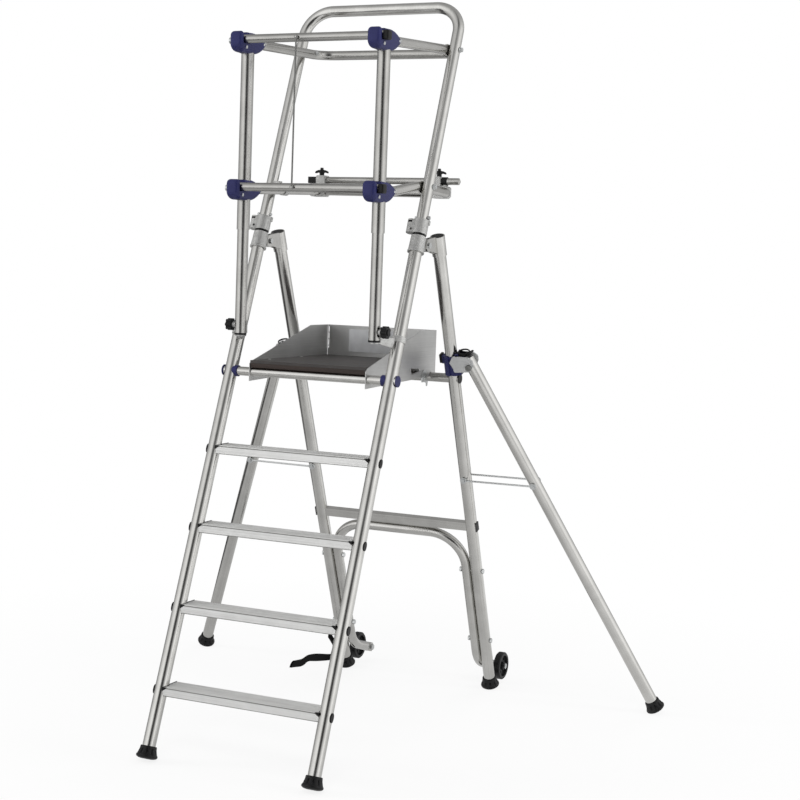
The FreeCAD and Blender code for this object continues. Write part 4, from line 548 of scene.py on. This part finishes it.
# corners in mm: in from the stile, behind the tread's nose, above its top edge
tongue = [(15, -0.7, -1), (0, -0.7, -11), (0, 11, 1.7), (0, -0.7, 0.8), (13, 1.5, 0.8)]
tongue_faces = [(0, 1, 3), (0, 3, 4), (4, 3, 2), (3, 1, 2), (0, 4, 2, 1)]
# the seal's section: out from the tread's hollowed end, above its top edge
seal = [(-1.4, -1), (-1.4, 2.2), (0.2, 2.2), (0.2, -1)]
for node in treads:
    low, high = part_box(node)
    nose, top = low.y, high.z - 1.2 * mm
    for side, label in sides:
        wide = reach_to_stile(nose, top)
        verts = [
            form.verts.new((side * (wide - x * mm), nose + y * mm, top + z * mm))
            for x, y, z in tongue
        ]
        for face in tongue_faces:
            form.faces.new([verts[number] for number in face])
        # the seal follows the hollowed end from behind the tongue to the back
        rings = []
        for behind in range(9, 80, 5):
            y = nose + behind * mm
            out = reach_to_stile(y, top)
            rings.append([
                form.verts.new((side * (out + x * mm), y, top + z * mm)) for x, z in seal
            ])
        join_rings(form, rings)
corners = make_piece("tread_corners_and_tube_rings", form, black_nylon, "ladder")
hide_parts("tread_ends_and_tube_caps")

# Corner brackets.  Moulded navy nylon: a pillow-like block with a slot for the gate, and
# a tail like half an egg that takes the rail, held on the post by its bolt and rivet.
# Places on a bracket are in mm behind and above the crossing of the post and its level.
bracket_low, bracket_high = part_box("corner_brackets")
half_wide, front_end = 22, -77
upper_top, foot, tail_tip = 28.5, -34.5, 75.4
post_x = bracket_high.x - half_wide * mm
post_y = bracket_low.y - front_end * mm
upper_level = bracket_high.z - upper_top * mm
lower_level = bracket_low.z - foot * mm


def arc_through(first, middle, last, count):
    """Points on the arc through three points of a plane, without the last one."""
    (ax, ay), (bx, by), (cx, cy) = first, middle, last
    spread = 2 * (ax * (by - cy) + bx * (cy - ay) + cx * (ay - by))
    squares = [x * x + y * y for x, y in (first, middle, last)]
    centre_x = (
        squares[0] * (by - cy) + squares[1] * (cy - ay) + squares[2] * (ay - by)
    ) / spread
    centre_y = (
        squares[0] * (cx - bx) + squares[1] * (ax - cx) + squares[2] * (bx - ax)
    ) / spread
    radius = math.hypot(ax - centre_x, ay - centre_y)
    angles = [math.atan2(y - centre_y, x - centre_x) for x, y in (first, middle, last)]
    while angles[1] > angles[0]:
        angles[1] -= 2 * math.pi
    while angles[2] > angles[1]:
        angles[2] -= 2 * math.pi
    turns = [angles[0] + (angles[2] - angles[0]) * step / count for step in range(count)]
    return [(centre_x + radius * math.cos(t), centre_y + radius * math.sin(t)) for t in turns]


def bracket_outline():
    """Side view of a bracket, clockwise from the front."""
    return [
        *arc_through((front_end, 12), (-73.2, 23), (-62, 27.4), 8),
        *[(-62 + 8 * step, 27.4 + 0.1 * step) for step in range(7)],
        *arc_through((-6, upper_top), (44, 21.5), (72.5, 8), 18),
        *arc_through((72.5, 8), (tail_tip, 2.5), (72.5, -3), 6),
        *arc_through((72.5, -3), (46, -22), (2, foot), 18),
        *[(2 - 8 * step, foot) for step in range(7)],
        *arc_through((-52, foot), (-70, -27.5), (front_end, -10), 10),
        *[(front_end, -10 + 5.5 * step) for step in range(4)],
    ]


def rounded_bracket(form, middle_x, level):
    """One bracket without its holes, its rims rounded like a pillow's."""
    outline = bracket_outline()
    count = len(outline)
    # the rim is rounder on the block than on the tail, and roundest below
    tail_rim, more_on_block, more_below = 7, 4.5, 4.5
    steps = 7
    rings = []
    for side in (-1, 1):
        for step in range(steps + 1) if side > 0 else range(steps, -1, -1):
            turn = math.pi / 2 * step / steps
            ring = []
            for number, (y, z) in enumerate(outline):
                before, after = outline[number - 1], outline[(number + 1) % count]
                along = Vector((after[0] - before[0], after[1] - before[1])).normalized()
                out_y, out_z = -along.y, along.x
                # how much of a block this place is: all of it 40 mm in front of the post
                block = min(1.0, max(0.0, (10 - y) / 50))
                rim = tail_rim + more_on_block * block + more_below * block * max(0.0, -out_z)
                inset = rim * (1 - math.cos(turn))
                reach = half_wide - rim + rim * math.sin(turn)
                ring.append(form.verts.new((
                    middle_x + side * reach * mm,
                    post_y + (y - out_y * inset) * mm, level + (z - out_z * inset) * mm,
                )))
            rings.append(ring)
    join_rings(form, rings)


def add_rod(form, start, end, radius, sides=48):
    """A closed round rod between two points."""
    start, end = Vector(start), Vector(end)
    turn = Vector((0, 0, 1)).rotation_difference(end - start).to_matrix().to_4x4()
    bmesh.ops.create_cone(
        form, cap_ends=True, segments=sides, radius1=radius, radius2=radius,
        depth=(end - start).length, matrix=Matrix.Translation((start + end) / 2) @ turn,
    )


def add_block(form, low, high, round_off=0.0, steps=3):
    """A block between two corners, its edges rounded."""
    low, high = Vector(low), Vector(high)
    place_at = Matrix.Translation((low + high) / 2) @ Matrix.Diagonal((*(high - low), 1.0))
    made = bmesh.ops.create_cube(form, size=1.0, matrix=place_at)
    if round_off:
        edges = list({edge for vert in made["verts"] for edge in vert.link_edges})
        bmesh.ops.bevel(
            form, geom=edges, offset=round_off, segments=steps, profile=0.5, affect="EDGES"
        )


def cut_from(form, cutters):
    """Cuts each cutter form out of a form and gives the result as a new form."""
    made = []
    for source in (form, *cutters):
        mesh = bpy.data.meshes.new("blank")
        source.to_mesh(mesh)
        source.free()
        made.append(bpy.data.objects.new("blank", mesh))
        bpy.context.scene.collection.objects.link(made[-1])
    blank, *tools = made
    for tool in tools:
        cut = blank.modifiers.new("cut", "BOOLEAN")
        cut.operation = "DIFFERENCE"
        cut.solver = "EXACT"
        cut.object = tool
    shaped = blank.evaluated_get(bpy.context.evaluated_depsgraph_get())
    result = bmesh.new()
    result.from_mesh(shaped.to_mesh())
    for used in made:
        bpy.data.objects.remove(used)
    return result


# the gate's slot, from the post's axis and the bracket's level
slot_front, slot_back, slot_floor, slot_half = -64 * mm, -30 * mm, -8.3 * mm, 30 * mm
# the bores for the post and the rail, and where the rail's starts and how high it lies
post_bore, rail_bore, rail_start, rail_above = 20.2 * mm, 15.2 * mm, 21 * mm, 5 * mm
# how far the cutting tools reach above and below the level, and behind the post
past_top, past_foot, past_tail = 50 * mm, 60 * mm, 120 * mm
# the upper bracket is closed over the post's end; the lower one lets the post through
closed_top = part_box("guard_posts")[1].z + 0.3 * mm
brackets = bmesh.new()
for side, label in sides:
    x = side * post_x
    for level, bore_top in ((upper_level, closed_top), (lower_level, lower_level + past_top)):
        block = bmesh.new()
        rounded_bracket(block, x, level)
        bmesh.ops.recalc_face_normals(block, faces=block.faces)
        slot_tool, post_tool, rail_tool = bmesh.new(), bmesh.new(), bmesh.new()
        add_block(
            slot_tool, (x - slot_half, post_y + slot_front, level + slot_floor),
            (x + slot_half, post_y + slot_back, level + past_top),
        )
        add_rod(
            post_tool, (x, post_y, level - past_foot), (x, post_y, bore_top), post_bore, 72
        )
        add_rod(
            rail_tool, (x, post_y + rail_start, level + rail_above),
            (x, post_y + past_tail, level + rail_above), rail_bore, 64,
        )
        shaped = cut_from(block, [slot_tool, post_tool, rail_tool])
        finished = bpy.data.meshes.new("finished")
        shaped.to_mesh(finished)
        shaped.free()
        brackets.from_mesh(finished)
bracket_piece = make_piece(
    "corner_brackets_rounded", brackets, navy_nylon, "ladder", 40
)
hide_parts("corner_brackets")


# Bracket rivets.  Zinc-plated steel with domed heads on both cheeks of each bracket, near
# the tip of the tail, where they hold the rail in its bore.
def full_turn(count):
    """Angles at equal steps round a full turn."""
    return [2 * math.pi * number / count for number in range(count)]


def add_dome(form, centre, along, radius, rise):
    """A rivet's domed head that stands out from centre."""
    along = Vector(along).normalized()
    side = along.orthogonal().normalized()
    other = along.cross(side)
    steps = 6
    rings = []
    for step in range(steps):
        turn = math.pi / 2 * step / steps
        middle = Vector(centre) + along * (rise * math.sin(turn))
        rings.append([
            form.verts.new(
                middle + (side * math.cos(a) + other * math.sin(a)) * (radius * math.cos(turn))
            )
            for a in full_turn(20)
        ])
    join_rings(form, rings)


rivets = bmesh.new()
rivet_behind, rivet_above, sunk = 62 * mm, 2 * mm, 0.4 * mm
rivet_radius, rivet_rise = 4.6 * mm, 2.4 * mm
for side, label in sides:
    for level in (upper_level, lower_level):
        for cheek in (-1, 1):
            face_x = side * post_x + cheek * (half_wide * mm - sunk)
            centre = (face_x, post_y + rivet_behind, level + rivet_above)
            add_dome(rivets, centre, (cheek, 0, 0), rivet_radius, rivet_rise)
make_piece("bracket_rivets", rivets, zinc, "ladder")

# Post clamps.  The castings again, with the seat under each post cast as a thin lip and
# the arm tapered down to the strap round the stile.
form = copy_form("post_clamps")
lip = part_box("guard_posts")[0].z - 10 * mm
# what lies further in than this on a clamp is the seat and its arm
arm_end = 251 * mm
for vert in form.verts:
    if abs(vert.co.x) < arm_end and vert.co.z < lip:
        vert.co.z = lip
bmesh.ops.dissolve_degenerate(form, dist=0.01 * mm, edges=form.edges)
clamps = make_piece("post_clamps_tapered", form, cast_skin, "ladder", 40)
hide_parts("post_clamps")

# Gate end caps.  Moulded black nylon with softly rounded square heads, pushed on the free
# ends of the two gate bars.
for body in ("gate_top", "gate_mid"):
    low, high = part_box(f"{body}_cap")
    middle_z = (low.z + high.z) / 2
    # how much smaller the head is at its inner end, its outer end and both its faces
    inner_trim, outer_trim, face_trim = 12 * mm, 3 * mm, 2.2 * mm
    half_tall, rim = 13.8 * mm, 4.5 * mm
    form = bmesh.new()
    add_block(
        form, (low.x + inner_trim, low.y + face_trim, middle_z - half_tall),
        (high.x - outer_trim, high.y - face_trim, middle_z + half_tall), rim, 4,
    )
    cap = make_piece(f"{body}_cap_moulded", form, black_nylon, body)
    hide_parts(f"{body}_cap")

# Platform bushes.  Moulded navy nylon: short bushes inside the stiles and round covers
# outside them, pushed on the front platform tube.
form = copy_form("platform_tube_bushes")
# the bushes' inner faces lie further in than the first value, and are moved to the second
inner_face, short_face = 241 * mm, 249.5 * mm
for vert in form.verts:
    if abs(vert.co.x) < inner_face:
        vert.co.x = math.copysign(short_face, vert.co.x)
bushes = make_piece("platform_bushes_short", form, navy_nylon, "ladder", 40)
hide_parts("platform_tube_bushes")

# Feet and wheels.  Moulded rubber, nearly black, matt and a little dusty: the wheels, and
# fluted boots pushed over the tubes' ends until their domed soles stand on the floor.
rubber, tree, shader = new_material("moulded_black_rubber")
dust = noise(tree, 60.0, 5.0)
skin = hex_ramp(tree, dust, (0.35, "#0a0a0b"), (0.75, "#151517"))
lay_skin(tree, shader, skin, dust, (0.36, 0.5))
emboss(tree, shader, noise(tree, 700.0, 2.0), 0.25)
shader.inputs["Specular IOR Level"].default_value = 0.32
paint(rubber, "wheel_left", "wheel_right")


def rubber_boot(name, floor_point, along, body):
    """A fluted boot, square to its tube, that rests on the edge of its domed sole."""
    along = Vector(along).normalized()
    side = along.cross(Vector((0, 1, 0))).normalized()
    other = along.cross(side)
    # distance up the tube, radius and flute depth in mm
    profile = [
        (0, 15, 0), (1, 22, 0), (3, 28, 0), (6, 31.6, 0), (9, 32.4, 0), (12, 31.6, 0),
        (14.5, 29.6, 1.2), (18, 28.4, 4.2), (24, 26.6, 4.2), (29, 25.2, 3.0), (31, 25.2, 0),
        (37, 24.4, 0), (38.5, 23.4, 0), (38.5, 20.5, 0), (12, 20.5, 0),
    ]
    drop = math.sqrt(1 - along.z ** 2)
    lift = max(radius * drop - reach * along.z for reach, radius, depth in profile)
    # the boot slides down the tube's axis until its sole touches the floor
    base = Vector(floor_point) + along * (lift * mm / along.z)
    # each flute is a soft hollow over two fifths of its share of the turn
    flutes, steps_each, hollow_share = 10, 10, 0.4
    form = bmesh.new()
    rings = []
    for reach, radius, depth in profile:
        ring = []
        for step, turn in enumerate(full_turn(flutes * steps_each)):
            share = (step % steps_each) / steps_each
            hollow = math.sin(math.pi * share / hollow_share) if share < hollow_share else 0.0
            out = (radius - depth * hollow) * mm
            ring.append(form.verts.new(
                base + along * (reach * mm)
                + side * (math.cos(turn) * out) + other * (math.sin(turn) * out)
            ))
        rings.append(ring)
    join_rings(form, rings)
    return make_piece(name, form, rubber, body, 50)


for node, body, along in (("front_feet", "ladder", up_stile), ("rear_feet", "rear_frame", up_leg)):
    low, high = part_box(node)
    floor_y = low.y + foot_radius if node == "front_feet" else high.y - foot_radius
    for label, floor_x in (("left", low.x + foot_radius), ("right", high.x - foot_radius)):
        boot = rubber_boot(f"{node}_{label}", (floor_x, floor_y, low.z), along, body)
        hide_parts(node)
for side, label in sides:
    low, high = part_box(f"stabiliser_foot_{label}")
    floor_x = high.x - foot_radius if side > 0 else low.x + foot_radius
    boot = rubber_boot(
        f"stabiliser_boot_{label}", (floor_x, high.y - foot_radius, low.z),
        up_stabiliser(side), f"stabiliser_{label}",
    )
    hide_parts(f"stabiliser_foot_{label}")

# Deck.  Birch plywood 9 mm thick, faced and edged with a dark phenolic film that is
# pressed with a fine anti-slip mesh.
deck_skin, tree, shader = new_material("film_faced_plywood")
# mesh of raised squares 3 mm apart
squares = add_node(
    tree, "ShaderNodeTexVoronoi", {"Vector": object_place(tree, (333.0, 333.0, 333.0))},
    distance="CHEBYCHEV", Scale=1.0, Randomness=0.0,
).outputs["Distance"]
cloud = noise(tree, 14.0, 5.0)
film = hex_ramp(tree, cloud, (0.3, "#353130"), (0.7, "#423e3c"))
printed = hex_ramp(tree, squares, (0.3, "#ffffff"), (0.5, "#c0c0c0"))
lay_skin(tree, shader, multiply(tree, film, printed, 0.5), cloud, (0.42, 0.58))
emboss(tree, shader, squares, 0.3)
paint(deck_skin, "deck_board")

# Deck strip.  A birch plywood batten, stained dark brown with its plies in sight, glued under
# the board's front edge, where it closes the gap over the front tube.  It fills that gap's
# shade with a dark piece, and its dark stain is painted shade.
ply_skin, tree, shader = new_material("dark_birch_plywood_painted_shade")
# plies 1.3 mm thick
ply_place = object_place(tree, (6.0, 6.0, 770.0))
ply = add_node(tree, "ShaderNodeTexWave", {"Vector": ply_place}, bands_direction="Z", Scale=0.32)
fibre = noise(tree, 1.0, 4.0, object_place(tree, (9.0, 300.0, 300.0)))
# dark brown plies: the plywood's stain, darkened as painted shade
stain_and_shade = hex_ramp(tree, ply.outputs["Fac"], (0.35, "#251c18"), (0.65, "#40322b"))
fleck = hex_ramp(tree, fibre, (0.3, "#c4c4c4"), (0.7, "#ffffff"))
lay_skin(tree, shader, multiply(tree, stain_and_shade, fleck, 0.6), fibre, (0.5, 0.66))
deck_low, deck_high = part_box("deck_board")
tube_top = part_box("platform_front_tube")[1].z
form = bmesh.new()
strip_depth, end_gap, set_back, clear, rim = 20 * mm, 1 * mm, 0.5 * mm, 0.5 * mm, 0.6 * mm
add_block(
    form, (deck_low.x + end_gap, deck_low.y + set_back, tube_top + clear),
    (deck_high.x - end_gap, deck_low.y + strip_depth, deck_low.z), rim, 2,
)
make_piece("deck_front_shade_strip", form, ply_skin, "platform")

# Deck rivets.  Pale aluminium with low domed heads, set along the left edge through the
# board into the tray.
form = bmesh.new()
head_radius, head_rise = 5 * mm, 1.8 * mm
rivet_x = deck_low.x + 16 * mm
for rivet_y in (-216 * mm, -2 * mm):
    add_dome(form, (rivet_x, rivet_y, deck_high.z), (0, 0, 1), head_radius, head_rise)
make_piece("deck_rivets", form, sheet_skin, "platform")

# Notice plate.  A thin plate with a pale matt film, stuck to the inside of the rear toe
# board and left bare.
plate_skin, tree, shader = new_material("matt_printed_film")
fleck = noise(tree, 35.0, 4.0)
skin = hex_ramp(tree, fleck, (0.3, "#c9cacc"), (0.7, "#d6d7d9"))
lay_skin(tree, shader, skin, fleck, (0.4, 0.55))
board_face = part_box("toe_board_rear")[0].y
plate_left, plate_right = -118 * mm, 60 * mm
plate_foot, plate_top = 1192 * mm, 1268 * mm
thick, rim = 0.6 * mm, 0.25 * mm
form = bmesh.new()
add_block(
    form, (plate_left, board_face - thick, plate_foot), (plate_right, board_face, plate_top),
    rim, 2,
)
make_piece("toe_board_plate", form, plate_skin, "platform")

# Latch levers and collar tabs.  Black nylon: two arms on the pin of each stabiliser
# collar and the wedge between them, with an open finger ring moulded on, and a small
# rounded end tab pressed into the inner side of the collar.
rear_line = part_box("rear_feet")[1].y - foot_radius


def on_rear_plane(x, y, reach):
    """A point x across, y behind and reach along the leaning plane of the rear legs, in mm."""
    return Vector((
        x * mm,
        rear_line + (y * math.cos(lean_rear) - reach * math.sin(lean_rear)) * mm,
        (y * math.sin(lean_rear) + reach * math.cos(lean_rear)) * mm,
    ))


def add_plate(form, side, outline, low_y, high_y):
    """A plate cut to an outline of (across, reach) points, mirrored for the left side."""
    near, far = (
        [form.verts.new(on_rear_plane(side * x, y, reach)) for x, reach in outline]
        for y in (low_y, high_y)
    )
    form.faces.new(near)
    form.faces.new(list(reversed(far)))
    for number in range(len(outline)):
        before = number - 1
        form.faces.new((near[before], near[number], far[number], far[before]))


def latch_lever(side):
    """Two arms and the wedge between them, from which a rod is cut for the pin."""
    # known fault: the three plates only touch, which the exact boolean takes badly.  The
    # left lever comes out without its wedge, and the right one keeps the rod as a pin.
    # The order of a plate's faces decides how it comes out.
    arm = [
        (306.5, 1300.5), (308.5, 1298.4), (330, 1298), (345, 1299.5), (345, 1304),
        (330, 1303.4), (316, 1305.8), (309, 1306),
    ]
    wedge = [
        (336, 1298.6), (345, 1299.5), (356, 1303.5), (361.5, 1309), (357.5, 1312.5),
        (345, 1306.5), (336, 1303.6),
    ]
    arm_inside, arm_outside = 12.8, 16.2
    pin_x, pin_reach, pin_end, pin_radius = 312, 1302, 25, 2.05 * mm
    form = bmesh.new()
    add_plate(form, side, arm, -arm_outside, -arm_inside)
    add_plate(form, side, arm, arm_inside, arm_outside)
    add_plate(form, side, wedge, -arm_inside, arm_inside)
    bmesh.ops.recalc_face_normals(form, faces=form.faces)
    pin_bore = bmesh.new()
    start, end = (on_rear_plane(side * pin_x, y, pin_reach) for y in (-pin_end, pin_end))
    add_rod(pin_bore, start, end, pin_radius, 32)
    return cut_from(form, [pin_bore])


def finger_ring(side):
    """An open ring, tilted back, whose section is an oval 1.3 times as tall as it is thick."""
    ring_x, ring_reach = 331, 1309
    radius, bar, oval = 18 * mm, 2.2 * mm, 1.3
    centre = on_rear_plane(side * ring_x, 0, ring_reach)
    tilted = Matrix.Rotation(math.radians(24), 4, "X")
    form = bmesh.new()
    rings = []
    for turn in full_turn(40):
        out = Vector((math.cos(turn), math.sin(turn), 0))
        rings.append([
            form.verts.new(centre + tilted @ (
                out * (radius + bar * math.cos(a)) + Vector((0, 0, 1)) * (oval * bar * math.sin(a))
            ))
            for a in full_turn(12)
        ])
    join_rings(form, [*rings, rings[0]], ends=False)
    return form


def collar_tab(side):
    """A rounded block that lies square to the leg."""
    tab_x, tab_reach = 251, 1284
    half_size, rim = Vector((4.5, 12, 15)) * mm, 2 * mm
    form = bmesh.new()
    add_block(form, -half_size, half_size, rim, 3)
    place_at = Matrix.Translation(on_rear_plane(side * tab_x, 0, tab_reach))
    lean = Matrix.Rotation(lean_rear, 4, "X")
    bmesh.ops.transform(form, matrix=place_at @ lean, verts=form.verts)
    return form


for side, label in sides:
    lever, collar = f"stabiliser_lever_{label}", f"stabiliser_collar_{label}"
    arms = make_piece(f"latch_lever_{label}", latch_lever(side), black_nylon, lever)
    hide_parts(lever)
    make_piece(f"stabiliser_ring_{label}", finger_ring(side), black_nylon, lever)
    make_piece(f"collar_tab_{label}", collar_tab(side), black_nylon, collar)

# Pivot caps.  Steel caps with a rounded rim, oiled and left bare like the gate link, over
# both ends of each stabiliser's pivot bolt.
pivot_x, pivot_reach = 353, 1265
# radius, and distance from the middle of the bolt, in mm
cap_profile = [(10.4, 25.65), (10.4, 30.6), (9.9, 31.8), (8.4, 32.5), (3, 32.8)]
for side, label in sides:
    form = bmesh.new()
    for face in (-1, 1):
        rings = []
        for radius, height in cap_profile:
            rings.append([
                form.verts.new(on_rear_plane(
                    side * (pivot_x + radius * math.cos(turn)), face * height,
                    pivot_reach + radius * math.sin(turn),
                ))
                for turn in full_turn(32)
            ])
        join_rings(form, rings)
    body = f"stabiliser_collar_{label}"
    make_piece(f"pivot_caps_{label}", form, wire, body)


# Collar shade blocks.  Black nylon: a block in the window of each hoop collar and a dome
# over its clamping screw's hole, both painted shade that makes the window and the hole dark.
def on_front_plane(x, y, reach):
    """A point x across, y behind and reach along the leaning plane of the stiles, in mm."""
    return Vector((
        x * mm,
        front_line + (y * math.cos(lean_front) + reach * math.sin(lean_front)) * mm,
        (reach * math.cos(lean_front) - y * math.sin(lean_front)) * mm,
    ))


form = bmesh.new()
# the tops of the stile's socket and of the hoop's collar are 1577 and 1628 mm high
socket_top = 1577 / math.cos(lean_front)
collar_top = 1628 / math.cos(lean_front)
shade_block_size = Matrix.Diagonal((13.6 * mm, 5.2 * mm, 5.8 * mm, 1.0))
# left of the stile's axis, in front of it, and along it from the tops above, in mm
shade_block_left, shade_block_front, shade_block_down = 30, 13.9, 9
screw_left, screw_front, screw_up = 23, 18.4, 20.3
screw_radius, screw_rise = 3.4 * mm, 1.6 * mm
forward = (0, -math.cos(lean_front), math.sin(lean_front))
for side, label in sides:
    x = side * stile_x / mm
    # a black block filling the collar's window: painted shade
    shade_block = bmesh.ops.create_cube(form, size=1.0, matrix=shade_block_size)["verts"]
    lean = Matrix.Rotation(-lean_front, 4, "X")
    middle = on_front_plane(x - shade_block_left, -shade_block_front, collar_top - shade_block_down)
    place_at = Matrix.Translation(middle)
    bmesh.ops.transform(form, matrix=place_at @ lean, verts=shade_block)
    # a black dome over the clamping screw's hole: painted shade
    screw = on_front_plane(x - screw_left, -screw_front, socket_top + screw_up)
    add_dome(form, screw, forward, screw_radius, screw_rise)
make_piece("collar_shade_blocks", form, black_nylon, "ladder")
